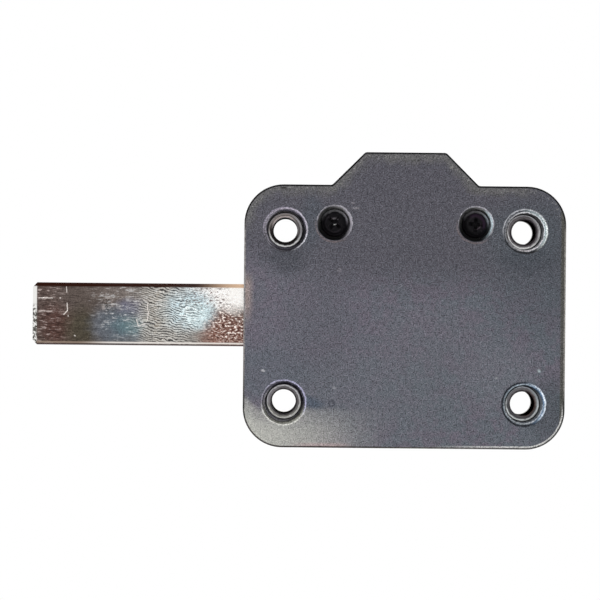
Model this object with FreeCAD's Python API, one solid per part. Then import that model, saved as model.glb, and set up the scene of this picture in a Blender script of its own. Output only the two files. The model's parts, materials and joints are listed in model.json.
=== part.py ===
import FreeCAD, Part
import math
import os

# Surface mounted deadbolt, in millimetres.
# The face of the case looks towards -Y and the door is on the +Y side.
# The bolt is thrown towards -X, and +Z is up.
# The origin is the centre of the four mounting holes, on the plane of the door.

# Case
case_width = 82.0
case_height = 67.0
case_depth = 22.0
case_corner_radius = 10.0
case_wall = 2.5
face_thickness = 2.5
face_edge_chamfer = 0.45
bump_top_width = 20.6
bump_cylinder_cover = 4.8
bump_slope_angle = 45.0
bump_corner_radius = 1.2

# Four mounting holes, measured in from the sides of the case
mount_inset_x = 10.4
mount_inset_z = 11.5
mount_hole_diameter = 6.2
mount_recess_diameter = 9.2
mount_recess_depth = 7.5
mount_lip_width = 1.0
mount_lip_depth = 1.0
mount_boss_wall = 2.0
mount_boss_back_gap = 7.0

# Two screws that hold the cover to the back plate, set in from the mounting holes
cover_screw_setback = 12.6
cover_screw_inset = 9.7
cover_screw_diameter = 4.0
cover_screw_head_diameter = 7.0
cover_screw_head_height = 2.2
cover_screw_crown_height = 1.1
cover_screw_crown_inset = 0.8
cover_screw_head_sink = 2.0
cover_screw_thread_length = 8.0
cover_screw_recess_diameter = 9.0
cover_screw_pocket_diameter = 7.8
cover_screw_seat_thickness = 1.8
cover_screw_boss_wall = 1.5
cross_slot_width = 1.1
cross_slot_length = 4.6
cross_slot_depth = 1.3
cross_turn_left = 45.0
cross_turn_right = 0.0
pillar_diameter = 7.0
pillar_spigot_diameter = 4.0

# Back plate
plate_thickness = 2.0
plate_bend_radius = 2.4
plate_bend_inner_radius = 0.5
lug_length = 11.0
lug_width = 8.0
lip_foot = 4.0

# Bolt
bolt_height = 16.0
bolt_thickness = 8.0
bolt_throw = 54.5
bolt_back_gap = 4.5
bolt_edge_chamfer = 0.5
bolt_end_chamfer = 1.2
bolt_tail_pitches = 0.85

# Pinion and rack
tooth_module = 1.1
tooth_count = 10
pressure_angle = 25.0
pinion_addendum = 1.0
rack_addendum = 0.9
root_clearance = 0.22
tooth_backlash = 0.16
journal_diameter = 7.0
journal_length = 4.0
bush_outer_diameter = 10.0
bush_boss_wall = 2.0
tail_diameter = 6.0
tail_flats = 4.4
tail_length = 7.2

# Half cylinder of the common round and stem profile
cylinder_round_diameter = 17.0
cylinder_stem_width = 10.0
cylinder_height = 33.0
cylinder_outer_length = 30.0
cylinder_gap_start = 3.0
cylinder_web_length = 10.5
cylinder_web_radius = 15.5
fixing_screw_diameter = 5.0
fixing_screw_head_diameter = 7.6
fixing_screw_head_height = 2.8
fixing_screw_length = 11.5
fixing_screw_end_gap = 3.3
plug_diameter = 13.0
plug_rim_width = 0.7
plug_rim_thickness = 1.2
plug_collar_length = 1.3
clip_thickness = 0.8
clip_inner_diameter = 10.0
clip_outer_diameter = 14.8
clip_mouth = 7.0
keyway_width = 2.0
keyway_height = 9.0
keyway_ward_width = 0.8
keyway_ward_height = 1.6

# Pin stacks of the cylinder
pin_count = 5
pin_pitch = 4.0
pin_first_depth = 5.0
pin_diameter = 2.84
chamber_diameter = 3.0
key_pin_length = 5.0
key_pin_step = 0.6
key_pin_tip = 0.9
driver_pin_length = 6.0
chamber_plug_length = 1.6
chamber_plug_sink = 0.6
spring_wire_diameter = 0.34
spring_outer_diameter = 2.7
spring_turns = 5
spring_steps = 8

# Guide pin and leaf spring of the bolt
guide_pin_diameter = 4.0
guide_pin_head_diameter = 6.8
guide_pin_head_height = 1.3
guide_pin_spigot_diameter = 3.0
guide_pin_setback = 2.5
leaf_thickness = 0.4
leaf_width = 3.6
leaf_span = 18.0
leaf_foot = 6.0
leaf_drop = 5.4
leaf_end_gap = 6.5
rivet_diameter = 3.0
rivet_head_diameter = 4.6
rivet_head_height = 0.8

# Guides cast inside the cover
guide_rib_thickness = 2.0
guide_rib_back_gap = 3.2
guide_rib_end_gap = 3.0
guide_rib_inner_start = 12.0
guide_pad_length = 8.0
guide_pad_height = 13.0
guide_pad_end_gap = 4.0

# Clearances
sliding_clearance = 0.2
plate_clearance = 0.25
running_clearance = 0.04
thread_clearance = 0.02
touch_clearance = 0.1
profile_clearance = 0.25

# Places that follow from the sizes above
half_width = case_width / 2
half_height = case_height / 2
face_y = -case_depth
inner_face_y = face_y + face_thickness
plate_y = -plate_thickness
mount_x = half_width - mount_inset_x
mount_z = half_height - mount_inset_z
ledge_y = face_y + mount_recess_depth
screw_x = mount_x - cover_screw_setback
cover_screw_height = half_height - cover_screw_inset
screw_seat_y = face_y + cover_screw_head_sink + cover_screw_head_height
pillar_y = screw_seat_y + cover_screw_seat_thickness
bolt_back_y = -bolt_back_gap
bolt_front_y = bolt_back_y - bolt_thickness
bolt_mid_y = (bolt_back_y + bolt_front_y) / 2
bolt_top_z = bolt_height / 2
tooth_pitch = math.pi * tooth_module
pitch_radius = tooth_module * tooth_count / 2
bolt_travel = 2 * math.pi * pitch_radius
rack_z = bolt_top_z - rack_addendum
plug_z = rack_z + pitch_radius
tail_x = bolt_tail_pitches * tooth_pitch
tip_x = -half_width - bolt_throw
cylinder_end_y = bolt_mid_y + cylinder_outer_length
cylinder_start_y = -cylinder_gap_start
cylinder_web_y = cylinder_start_y - cylinder_web_length
stem_end = cylinder_height - cylinder_round_diameter / 2
bump_height = plug_z + stem_end + bump_cylinder_cover - half_height
plug_radius = plug_diameter / 2
collar_y = cylinder_start_y - plug_collar_length
pinion_front_y = bolt_front_y + sliding_clearance
bush_y = bolt_front_y - sliding_clearance
lug_x = cylinder_stem_width / 2 + plate_clearance
fixing_z = plug_z + stem_end - fixing_screw_end_gap
guide_pin_x = -guide_pin_setback
leaf_far_x = -half_width + case_wall + leaf_end_gap
leaf_start_x = leaf_far_x + leaf_span
rivet_x = leaf_start_x + leaf_foot / 2
window_half_z = bolt_top_z + sliding_clearance
key_pin_top = math.sqrt(plug_radius ** 2 - (pin_diameter / 2) ** 2) - running_clearance
driver_pin_start = plug_radius + touch_clearance
spring_start = driver_pin_start + driver_pin_length
chamber_plug_start = stem_end - chamber_plug_sink - chamber_plug_length

ALONG_X = FreeCAD.Vector(1, 0, 0)
ALONG_Y = FreeCAD.Vector(0, 1, 0)
ALONG_Z = FreeCAD.Vector(0, 0, 1)


def at_xz(u, v):
    """A point of an outline drawn in the plane of the case's face."""
    return FreeCAD.Vector(u, 0, v)


def at_xy(u, v):
    """A point of an outline seen from above."""
    return FreeCAD.Vector(u, v, 0)


def at_yz(u, v):
    """A point of an outline seen from the end of the bolt."""
    return FreeCAD.Vector(0, u, v)


def rounded_face(corners, place):
    """A flat face from corners (u, v, radius), each rounded by its radius."""
    edges = []
    last_end = None
    first_start = None
    count = len(corners)
    for index in range(count):
        corner = place(corners[index][0], corners[index][1])
        before = place(*corners[index - 1][:2]) - corner
        after = place(*corners[(index + 1) % count][:2]) - corner
        radius = corners[index][2]
        start = corner
        end = corner
        if radius > 0:
            half_angle = before.getAngle(after) / 2
            before.normalize()
            after.normalize()
            reach = radius / math.tan(half_angle)
            start = corner + before * reach
            end = corner + after * reach
            inward = (before + after).normalize()
            middle = corner + inward * (radius / math.sin(half_angle) - radius)
        if last_end is None:
            first_start = start
        elif last_end.distanceToPoint(start) > 1e-6:
            edges.append(Part.LineSegment(last_end, start).toShape())
        if radius > 0:
            edges.append(Part.Arc(start, middle, end).toShape())
        last_end = end
    edges.append(Part.LineSegment(last_end, first_start).toShape())
    return Part.Face(Part.Wire(edges))


def prism(face, direction, start, end):
    """The face carried along a unit direction from one place to another."""
    moved = face.copy()
    moved.translate(direction * start)
    return moved.extrude(direction * (end - start))


def block(x0, x1, y0, y1, z0, z1):
    """A plain block between two corners."""
    corner = FreeCAD.Vector(min(x0, x1), min(y0, y1), min(z0, z1))
    return Part.makeBox(abs(x1 - x0), abs(y1 - y0), abs(z1 - z0), corner)


def rod_y(diameter, y0, y1, x, z):
    """A round bar along Y."""
    base = FreeCAD.Vector(x, min(y0, y1), z)
    return Part.makeCylinder(diameter / 2, abs(y1 - y0), base, ALONG_Y)


def rod_x(diameter, x0, x1, y, z):
    """A round bar along X."""
    base = FreeCAD.Vector(min(x0, x1), y, z)
    return Part.makeCylinder(diameter / 2, abs(x1 - x0), base, ALONG_X)


def rod_z(diameter, z0, z1, x, y):
    """A round bar along Z."""
    base = FreeCAD.Vector(x, y, min(z0, z1))
    return Part.makeCylinder(diameter / 2, abs(z1 - z0), base, ALONG_Z)


def fuse_all(first, others):
    """One solid from a body and what is joined to it."""
    return first.fuse(others).removeSplitter()


def case_outline(inset):
    """The case seen from the front, drawn in by an inset all round."""
    slope = math.radians(bump_slope_angle)
    corner_shift = inset * math.tan(slope / 2)
    side = half_width - inset
    bottom = -half_height + inset
    shoulder = half_height - inset
    top = half_height + bump_height - inset
    bump_top = bump_top_width / 2 - corner_shift
    bump_foot = bump_top_width / 2 + bump_height / math.tan(slope) - corner_shift
    big = case_corner_radius - inset
    outer = max(bump_corner_radius - inset, 0)
    inner = bump_corner_radius + inset
    corners = [
        (-side, bottom, big),
        (side, bottom, big),
        (side, shoulder, big),
        (bump_foot, shoulder, inner),
        (bump_top, top, outer),
        (-bump_top, top, outer),
        (-bump_foot, shoulder, inner),
        (-side, shoulder, big),
    ]
    return rounded_face(corners, at_xz)


def profile_bar(grow, y0, y1):
    """A length of the cylinder's round and stem section, grown by a clearance."""
    half_stem = cylinder_stem_width / 2 + grow
    stem_top = plug_z + stem_end + grow
    corners = [
        (-half_stem, plug_z, 0),
        (half_stem, plug_z, 0),
        (half_stem, stem_top, half_stem * 0.96),
        (-half_stem, stem_top, half_stem * 0.96),
    ]
    stem = prism(rounded_face(corners, at_xz), ALONG_Y, y0, y1)
    return fuse_all(rod_y(cylinder_round_diameter + 2 * grow, y0, y1, 0, plug_z), [stem])


def mount_places():
    """The four corners of the mounting pattern."""
    return [(sx * mount_x, sz * mount_z) for sz in (1, -1) for sx in (-1, 1)]


def cover_screw_places():
    """The two screws with the turn of their cross slots."""
    return [(-screw_x, cross_turn_left), (screw_x, cross_turn_right)]


def pin_places():
    """The place of each pin stack along the cylinder, from the key's side."""
    return [cylinder_end_y - pin_first_depth - pin_pitch * index for index in range(pin_count)]


def cover_shell():
    """The cast skin: a flat face, an edge broken at 45 degrees and a wall all round."""
    skin = prism(case_outline(0), ALONG_Y, face_y, 0)
    rim = []
    for edge in skin.Edges:
        box = edge.BoundBox
        if box.YMax < face_y + 0.01:
            rim.append(edge)
    skin = skin.makeChamfer(face_edge_chamfer, rim)
    hollow = prism(case_outline(case_wall), ALONG_Y, inner_face_y, 0)
    return skin.cut(hollow)


def cover_guides():
    """Ribs and pads that keep the bolt straight as it slides."""
    rib_z = bolt_top_z + sliding_clearance
    rib_end = half_width - case_wall - guide_rib_end_gap
    rib_back = -guide_rib_back_gap
    pieces = []
    for start, end, side in (
        (-rib_end, rib_end, -1),
        (-rib_end, -guide_rib_inner_start, 1),
        (guide_rib_inner_start, rib_end, 1),
    ):
        near = side * rib_z
        far = side * (rib_z + guide_rib_thickness)
        pieces.append(block(start, end, inner_face_y - touch_clearance, rib_back, near, far))
    pad_end = half_width - case_wall - guide_pad_end_gap
    pad_y = bolt_front_y - sliding_clearance
    half_pad = guide_pad_height / 2
    for side in (-1, 1):
        near = side * (pad_end - guide_pad_length)
        far = side * pad_end
        pieces.append(block(near, far, inner_face_y - touch_clearance, pad_y, -half_pad, half_pad))
    return pieces


def front_cover():
    """Cast cover with its bosses, guides, holes and the notch for the bolt."""
    boss_start = inner_face_y - touch_clearance
    bosses = cover_guides()
    boss_diameter = mount_recess_diameter + 2 * mount_boss_wall
    for x, z in mount_places():
        bosses.append(rod_y(boss_diameter, boss_start, -mount_boss_back_gap, x, z))
    boss_diameter = cover_screw_recess_diameter + 2 * cover_screw_boss_wall
    for x, turn in cover_screw_places():
        bosses.append(rod_y(boss_diameter, boss_start, pillar_y, x, cover_screw_height))
    boss_diameter = bush_outer_diameter + 2 * bush_boss_wall
    bosses.append(rod_y(boss_diameter, boss_start, bush_y, 0, plug_z))
    cover = fuse_all(cover_shell(), bosses)
    cuts = []
    lip_radius = mount_recess_diameter / 2 + mount_lip_width
    for x, z in mount_places():
        cuts.append(rod_y(mount_recess_diameter, face_y, 0, x, z))
        base = FreeCAD.Vector(x, face_y, z)
        lip = Part.makeCone(lip_radius, mount_recess_diameter / 2, mount_lip_depth, base, ALONG_Y)
        cuts.append(lip)
    for x, turn in cover_screw_places():
        base = FreeCAD.Vector(x, face_y, cover_screw_height)
        mouth = cover_screw_recess_diameter / 2
        pocket = cover_screw_pocket_diameter / 2
        cuts.append(Part.makeCone(mouth, pocket, screw_seat_y - face_y, base, ALONG_Y))
        bore = cover_screw_diameter + 2 * sliding_clearance
        cuts.append(rod_y(bore, screw_seat_y, pillar_y, x, cover_screw_height))
    bore = bush_outer_diameter + 2 * thread_clearance
    bore_end = bush_y - journal_length - sliding_clearance
    cuts.append(rod_y(bore, bore_end, bush_y, 0, plug_z))
    notch_front = bolt_front_y - sliding_clearance
    wall_inner = -half_width + case_wall
    cuts.append(block(-half_width, wall_inner, notch_front, 0, -window_half_z, window_half_z))
    return cover.cut(cuts)


def bent_tab(corner_x, foot_x, top_y, side, z0, z1):
    """A tab of the plate's own sheet, bent up square from a foot."""
    inner_x = corner_x + side * plate_thickness
    corners = [
        (corner_x, top_y, 0),
        (corner_x, 0, plate_bend_radius),
        (foot_x, 0, 0),
        (foot_x, plate_y, 0),
        (inner_x, plate_y, plate_bend_inner_radius),
        (inner_x, top_y, 0),
    ]
    return prism(rounded_face(corners, at_xy), ALONG_Z, z0, z1)


def plate_edge_x(height):
    """Half the width of the plate at a height within the raised part."""
    slope = math.radians(bump_slope_angle)
    drop = half_height + bump_height - height
    edge = bump_top_width / 2 + drop / math.tan(slope)
    return edge - (case_wall + plate_clearance) / math.sin(slope)


def back_plate():
    """Steel plate with the cylinder's opening and two bent tabs."""
    plate = prism(case_outline(case_wall + plate_clearance), ALONG_Y, plate_y, 0)
    lug_low = fixing_z - lug_width / 2
    lug_high = fixing_z + lug_width / 2
    lug_foot_x = plate_edge_x(lug_high) - sliding_clearance
    lip_foot_x = -half_width + case_wall + lip_foot
    lip_top_y = bolt_back_y + sliding_clearance
    plate = plate.cut([
        block(lug_x, lug_foot_x, plate_y, 0, lug_low, lug_high),
        block(-half_width, lip_foot_x, plate_y, 0, -bolt_top_z, bolt_top_z),
    ])
    lug = bent_tab(lug_x, lug_foot_x, plate_y - lug_length, 1, lug_low, lug_high)
    lip = bent_tab(-half_width, lip_foot_x, lip_top_y, 1, -bolt_top_z, bolt_top_z)
    plate = fuse_all(plate, [lug, lip])
    cuts = [profile_bar(profile_clearance, plate_y, 0)]
    for x, z in mount_places():
        cuts.append(rod_y(mount_hole_diameter, plate_y, 0, x, z))
    for x, turn in cover_screw_places():
        bore = pillar_spigot_diameter + 2 * thread_clearance
        cuts.append(rod_y(bore, plate_y, 0, x, cover_screw_height))
    bore = guide_pin_spigot_diameter + 2 * thread_clearance
    cuts.append(rod_y(bore, plate_y, 0, guide_pin_x, 0))
    bore = rivet_diameter + 2 * thread_clearance
    cuts.append(rod_y(bore, plate_y, 0, rivet_x, -leaf_drop))
    bore = fixing_screw_diameter + 2 * sliding_clearance
    cuts.append(rod_x(bore, lug_x, lug_x + plate_thickness, bolt_mid_y, fixing_z))
    return plate.cut(cuts)


def spacer_sleeves():
    """Steel sleeves that carry the mounting screws' heads."""
    outer = mount_recess_diameter - 2 * touch_clearance
    sleeves = []
    for x, z in mount_places():
        sleeve = rod_y(outer, ledge_y, plate_y, x, z)
        sleeves.append(sleeve.cut(rod_y(mount_hole_diameter, ledge_y, plate_y, x, z)))
    return Part.makeCompound(sleeves)


def screw_pillars():
    """Threaded pillars riveted into the back plate under the cover screws."""
    pillars = []
    thread_end = screw_seat_y + cover_screw_thread_length + 2 * sliding_clearance
    bore = cover_screw_diameter + 2 * thread_clearance
    for x, turn in cover_screw_places():
        pillar = rod_y(pillar_diameter, pillar_y, plate_y, x, cover_screw_height)
        spigot = rod_y(pillar_spigot_diameter, plate_y, 0, x, cover_screw_height)
        pillar = fuse_all(pillar, [spigot])
        pillars.append(pillar.cut(rod_y(bore, pillar_y, thread_end, x, cover_screw_height)))
    return Part.makeCompound(pillars)


def cover_screws():
    """Pan head screws with a tapered cross recess in each head."""
    screws = []
    head_y = screw_seat_y - cover_screw_head_height
    crown_y = head_y + cover_screw_crown_height
    crown_radius = cover_screw_head_diameter / 2 - cover_screw_crown_inset
    for x, turn in cover_screw_places():
        head = rod_y(cover_screw_head_diameter, crown_y, screw_seat_y, x, cover_screw_height)
        base = FreeCAD.Vector(x, head_y, cover_screw_height)
        crown = Part.makeCone(crown_radius, cover_screw_head_diameter / 2,
                              cover_screw_crown_height, base, ALONG_Y)
        end_y = screw_seat_y + cover_screw_thread_length
        shank = rod_y(cover_screw_diameter, screw_seat_y, end_y, x, cover_screw_height)
        screw = fuse_all(head, [crown, shank])
        centre = FreeCAD.Vector(x, head_y, cover_screw_height)
        screws.append(screw.cut([cross_slot(centre, turn), cross_slot(centre, turn + 90)]))
    return Part.makeCompound(screws)


def cross_slot(centre, turn):
    """One arm pair of a cross recess, narrower towards its floor."""
    top = cross_slot_length / 2
    floor = cross_slot_length / 5
    corners = [
        (-top, 0, 0),
        (top, 0, 0),
        (floor, cross_slot_depth, 0),
        (-floor, cross_slot_depth, 0),
    ]
    face = rounded_face(corners, at_xy)
    slot = prism(face, ALONG_Z, -cross_slot_width / 2, cross_slot_width / 2)
    slot.rotate(FreeCAD.Vector(0, 0, 0), ALONG_Y, turn)
    slot.translate(centre)
    return slot


def bolt():
    """Rectangular bolt bar with a rack along its top edge and a guide slot."""
    chamfer = bolt_end_chamfer
    side = [
        (tip_x, -bolt_top_z + chamfer, 0),
        (tip_x + chamfer, -bolt_top_z, 0),
        (tail_x, -bolt_top_z, 0),
        (tail_x, bolt_top_z, 0),
        (tip_x + chamfer, bolt_top_z, 0),
        (tip_x, bolt_top_z - chamfer, 0),
    ]
    above = [
        (tip_x, bolt_front_y + chamfer, 0),
        (tip_x + chamfer, bolt_front_y, 0),
        (tail_x, bolt_front_y, 0),
        (tail_x, bolt_back_y, 0),
        (tip_x + chamfer, bolt_back_y, 0),
        (tip_x, bolt_back_y - chamfer, 0),
    ]
    edge = bolt_edge_chamfer
    section = [
        (bolt_front_y, -bolt_top_z + edge, 0),
        (bolt_front_y + edge, -bolt_top_z, 0),
        (bolt_back_y - edge, -bolt_top_z, 0),
        (bolt_back_y, -bolt_top_z + edge, 0),
        (bolt_back_y, bolt_top_z - edge, 0),
        (bolt_back_y - edge, bolt_top_z, 0),
        (bolt_front_y + edge, bolt_top_z, 0),
        (bolt_front_y, bolt_top_z - edge, 0),
    ]
    bar = prism(rounded_face(section, at_yz), ALONG_X, tip_x, tail_x)
    bar = bar.common(prism(rounded_face(side, at_xz), ALONG_Y, bolt_front_y, bolt_back_y))
    bar = bar.common(prism(rounded_face(above, at_xy), ALONG_Z, -bolt_top_z, bolt_top_z))
    cuts = [rack_space(index) for index in range(-tooth_count - 1, 2)]
    half_slot = guide_pin_diameter / 2 + sliding_clearance
    slot_end = guide_pin_x + half_slot
    slot_start = guide_pin_x - bolt_travel - half_slot
    slot = [
        (slot_start, -half_slot, half_slot * 0.98),
        (slot_end, -half_slot, half_slot * 0.98),
        (slot_end, half_slot, half_slot * 0.98),
        (slot_start, half_slot, half_slot * 0.98),
    ]
    cuts.append(prism(rounded_face(slot, at_xz), ALONG_Y, bolt_front_y, bolt_back_y))
    return bar.cut(cuts)


def rack_space(index):
    """The gap between two rack teeth, cut through the bolt's top edge."""
    slope = math.tan(math.radians(pressure_angle))
    depth = pinion_addendum + root_clearance
    middle = index * tooth_pitch
    half_mid = tooth_pitch / 4 + tooth_backlash / 4
    half_top = half_mid + rack_addendum * slope
    half_floor = half_mid - depth * slope
    corners = [
        (middle - half_floor, rack_z - depth, 0),
        (middle + half_floor, rack_z - depth, 0),
        (middle + half_top, bolt_top_z, 0),
        (middle - half_top, bolt_top_z, 0),
    ]
    return prism(rounded_face(corners, at_xz), ALONG_Y, bolt_front_y, bolt_back_y)


def pinion_point(radius, angle):
    """A point of the pinion's section, where angle 0 looks down at the rack."""
    return FreeCAD.Vector(radius * math.sin(angle), 0, plug_z - radius * math.cos(angle))


def involute_angle(radius, base_radius):
    """How far the tooth flank has turned at a radius."""
    if radius <= base_radius:
        return 0.0
    lean = math.acos(base_radius / radius)
    return math.tan(lean) - lean


def pinion_section():
    """Ten involute teeth, one of them pointing straight down at the rack."""
    base_radius = pitch_radius * math.cos(math.radians(pressure_angle))
    tip_radius = pitch_radius + pinion_addendum
    root_radius = pitch_radius - rack_addendum - root_clearance
    half_tooth = (tooth_pitch / 2 - tooth_backlash / 2) / (2 * pitch_radius)
    flank_start = max(base_radius, root_radius)
    flank_middle = (flank_start + tip_radius) / 2
    half_base = half_tooth + involute_angle(pitch_radius, base_radius)
    step = 2 * math.pi / tooth_count
    edges = []
    for index in range(tooth_count):
        centre = index * step
        spread = [half_base - involute_angle(r, base_radius) for r in (flank_start, flank_middle, tip_radius)]
        left = [pinion_point(r, centre - s) for r, s in zip((flank_start, flank_middle, tip_radius), spread)]
        right = [pinion_point(r, centre + s) for r, s in zip((flank_start, flank_middle, tip_radius), spread)]
        left_root = pinion_point(root_radius, centre - half_base)
        right_root = pinion_point(root_radius, centre + half_base)
        next_root = pinion_point(root_radius, centre + step - half_base)
        gap_middle = pinion_point(root_radius, centre + step / 2)
        edges.append(Part.LineSegment(left_root, left[0]).toShape())
        edges.append(Part.Arc(left[0], left[1], left[2]).toShape())
        edges.append(Part.Arc(left[2], pinion_point(tip_radius, centre), right[2]).toShape())
        edges.append(Part.Arc(right[2], right[1], right[0]).toShape())
        edges.append(Part.LineSegment(right[0], right_root).toShape())
        edges.append(Part.Arc(right_root, gap_middle, next_root).toShape())
    return Part.Face(Part.Wire(edges))


def tail_shaft(grow, y0, y1):
    """The plug's tail, a round bar with two flats, grown by a clearance."""
    bar = rod_y(tail_diameter + 2 * grow, y0, y1, 0, plug_z)
    half = tail_flats / 2 + grow
    reach = tail_diameter
    return bar.common(block(-half, half, y0, y1, plug_z - reach, plug_z + reach))


def pinion():
    """Toothed wheel on the plug's tail, with a journal that runs in the bush."""
    wheel = prism(pinion_section(), ALONG_Y, pinion_front_y, collar_y)
    journal = rod_y(journal_diameter, pinion_front_y - journal_length, pinion_front_y, 0, plug_z)
    wheel = fuse_all(wheel, [journal])
    return wheel.cut(tail_shaft(running_clearance, collar_y - tail_length - touch_clearance, collar_y))


def pinion_bush():
    """Plain bearing bush pressed into the cover's boss."""
    bush = rod_y(bush_outer_diameter, bush_y - journal_length, bush_y, 0, plug_z)
    bore = journal_diameter + 2 * running_clearance
    return bush.cut(rod_y(bore, bush_y - journal_length, bush_y, 0, plug_z))


def cylinder_body():
    """Half cylinder: a full length behind the pinion and a web over it."""
    body = profile_bar(0, cylinder_start_y, cylinder_end_y)
    web = profile_bar(0, cylinder_web_y, cylinder_start_y)
    half = cylinder_stem_width
    web_low = plug_z + cylinder_web_radius
    web_high = plug_z + cylinder_height
    web = web.common(block(-half, half, cylinder_web_y, cylinder_start_y, web_low, web_high))
    body = fuse_all(body, [web])
    cuts = [rod_y(plug_diameter + 2 * running_clearance, cylinder_start_y, cylinder_end_y, 0, plug_z)]
    rim_bore = plug_diameter + 2 * plug_rim_width + 2 * running_clearance
    rim_start = cylinder_end_y - plug_rim_thickness
    cuts.append(rod_y(rim_bore, rim_start, cylinder_end_y, 0, plug_z))
    for y in pin_places():
        cuts.append(rod_z(chamber_diameter, plug_z, plug_z + cylinder_height, 0, y))
    bore = fixing_screw_diameter + 2 * thread_clearance
    cuts.append(rod_x(bore, -half, half, bolt_mid_y, fixing_z))
    return body.cut(cuts)


def cylinder_plug():
    """Turning plug with its rim, keyway, pin holes, clip groove and tail."""
    plug = rod_y(plug_diameter, collar_y, cylinder_end_y, 0, plug_z)
    rim = rod_y(plug_diameter + 2 * plug_rim_width, cylinder_end_y - plug_rim_thickness + running_clearance,
                cylinder_end_y, 0, plug_z)
    tail = tail_shaft(0, collar_y - tail_length, collar_y)
    plug = fuse_all(plug, [rim, tail])
    groove_start = cylinder_start_y - touch_clearance / 2
    groove_end = groove_start - clip_thickness - touch_clearance
    groove = rod_y(plug_diameter, groove_end, groove_start, 0, plug_z)
    groove = groove.cut(rod_y(clip_inner_diameter, groove_end, groove_start, 0, plug_z))
    keyway_low = plug_z - plug_radius
    keyway_high = keyway_low + keyway_height
    half = keyway_width / 2
    keyway = block(-half, half, cylinder_start_y, cylinder_end_y, keyway_low - plug_rim_width, keyway_high)
    ward_low = plug_z - keyway_ward_height / 2
    ward = block(half, half + keyway_ward_width, cylinder_start_y, cylinder_end_y,
                 ward_low, ward_low + keyway_ward_height)
    cuts = [groove, keyway, ward]
    for y in pin_places():
        cuts.append(rod_z(chamber_diameter, plug_z, plug_z + plug_diameter, 0, y))
    return plug.cut(cuts)


def plug_clip():
    """Open spring ring that keeps the plug in its bore."""
    start = cylinder_start_y - touch_clearance
    end = start - clip_thickness
    ring = rod_y(clip_outer_diameter, end, start, 0, plug_z)
    ring = ring.cut(rod_y(clip_inner_diameter + 2 * running_clearance, end, start, 0, plug_z))
    half = clip_mouth / 2
    return ring.cut(block(-half, half, end, start, plug_z, plug_z + clip_outer_diameter))


def key_pin(index):
    """A pin that the key lifts, with a cone at its lower end."""
    length = key_pin_length + key_pin_step * ((index * 2) % 3 - 1)
    y = pin_places()[index]
    top = plug_z + key_pin_top
    tip_start = top - length + key_pin_tip
    straight = rod_z(pin_diameter, tip_start, top, 0, y)
    base = FreeCAD.Vector(0, y, tip_start - key_pin_tip)
    tip = Part.makeCone(pin_diameter / 5, pin_diameter / 2, key_pin_tip, base, ALONG_Z)
    return fuse_all(straight, [tip])


def driver_pin(index):
    """A plain pin that the spring presses on the key pin."""
    start = plug_z + driver_pin_start
    return rod_z(pin_diameter, start, start + driver_pin_length, 0, pin_places()[index])


def pin_spring(index):
    """Coil spring between the driver pin and the chamber's plug."""
    half = spring_wire_diameter / 2
    radius = spring_outer_diameter / 2 - half
    start = plug_z + spring_start + half + running_clearance
    height = plug_z + chamber_plug_start - half - running_clearance - start
    sections = []
    count = spring_turns * spring_steps
    for step in range(count + 1):
        turn = 2 * math.pi * step / spring_steps
        middle = start + height * step / count
        corners = []
        for out, up in ((-half, 0), (0, half), (half, 0), (0, -half), (-half, 0)):
            reach = radius + out
            y = pin_places()[index] + reach * math.sin(turn)
            corners.append(FreeCAD.Vector(reach * math.cos(turn), y, middle + up))
        sections.append(Part.makePolygon(corners))
    return Part.makeLoft(sections, True, True)


def chamber_plug(index):
    """Small plug pressed into the end of a pin chamber."""
    start = plug_z + chamber_plug_start
    diameter = chamber_diameter - 2 * thread_clearance
    return rod_z(diameter, start, start + chamber_plug_length, 0, pin_places()[index])


def cylinder_fixing_screw():
    """Screw through the plate's lug into the cylinder's web."""
    seat = lug_x + plate_thickness
    head = rod_x(fixing_screw_head_diameter, seat, seat + fixing_screw_head_height, bolt_mid_y, fixing_z)
    shank = rod_x(fixing_screw_diameter, seat - fixing_screw_length, seat, bolt_mid_y, fixing_z)
    screw = fuse_all(head, [shank])
    half_slot = cross_slot_width / 2
    head_end = seat + fixing_screw_head_height
    half_head = fixing_screw_head_diameter / 2
    slot = block(head_end - cross_slot_depth, head_end, bolt_mid_y - half_head, bolt_mid_y + half_head,
                 fixing_z - half_slot, fixing_z + half_slot)
    return screw.cut(slot)


def guide_pin():
    """Headed pin, riveted in the back plate, that limits the bolt's stroke."""
    head_y = bolt_front_y - sliding_clearance
    shank = rod_y(guide_pin_diameter, head_y, plate_y, guide_pin_x, 0)
    head = rod_y(guide_pin_head_diameter, head_y - guide_pin_head_height, head_y, guide_pin_x, 0)
    spigot = rod_y(guide_pin_spigot_diameter, plate_y, 0, guide_pin_x, 0)
    return fuse_all(shank, [head, spigot])


def leaf_spring():
    """Bowed spring strip that presses the bolt away from the back plate."""
    high_y = bolt_back_y + touch_clearance
    start_x = leaf_start_x
    far_x = leaf_far_x
    middle_x = (start_x + far_x) / 2
    foot_x = start_x + leaf_foot
    top_y = plate_y - leaf_thickness
    edges = [
        Part.Arc(at_xy(far_x, plate_y), at_xy(middle_x, high_y + leaf_thickness),
                 at_xy(start_x, plate_y)).toShape(),
        Part.LineSegment(at_xy(start_x, plate_y), at_xy(foot_x, plate_y)).toShape(),
        Part.LineSegment(at_xy(foot_x, plate_y), at_xy(foot_x, top_y)).toShape(),
        Part.LineSegment(at_xy(foot_x, top_y), at_xy(start_x, top_y)).toShape(),
        Part.Arc(at_xy(start_x, top_y), at_xy(middle_x, high_y), at_xy(far_x, top_y)).toShape(),
        Part.LineSegment(at_xy(far_x, top_y), at_xy(far_x, plate_y)).toShape(),
    ]
    strip = Part.Face(Part.Wire(edges))
    low = -leaf_drop - leaf_width / 2
    strip = prism(strip, ALONG_Z, low, low + leaf_width)
    bore = rivet_diameter + 2 * thread_clearance
    return strip.cut(rod_y(bore, top_y, plate_y, rivet_x, -leaf_drop))


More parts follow.
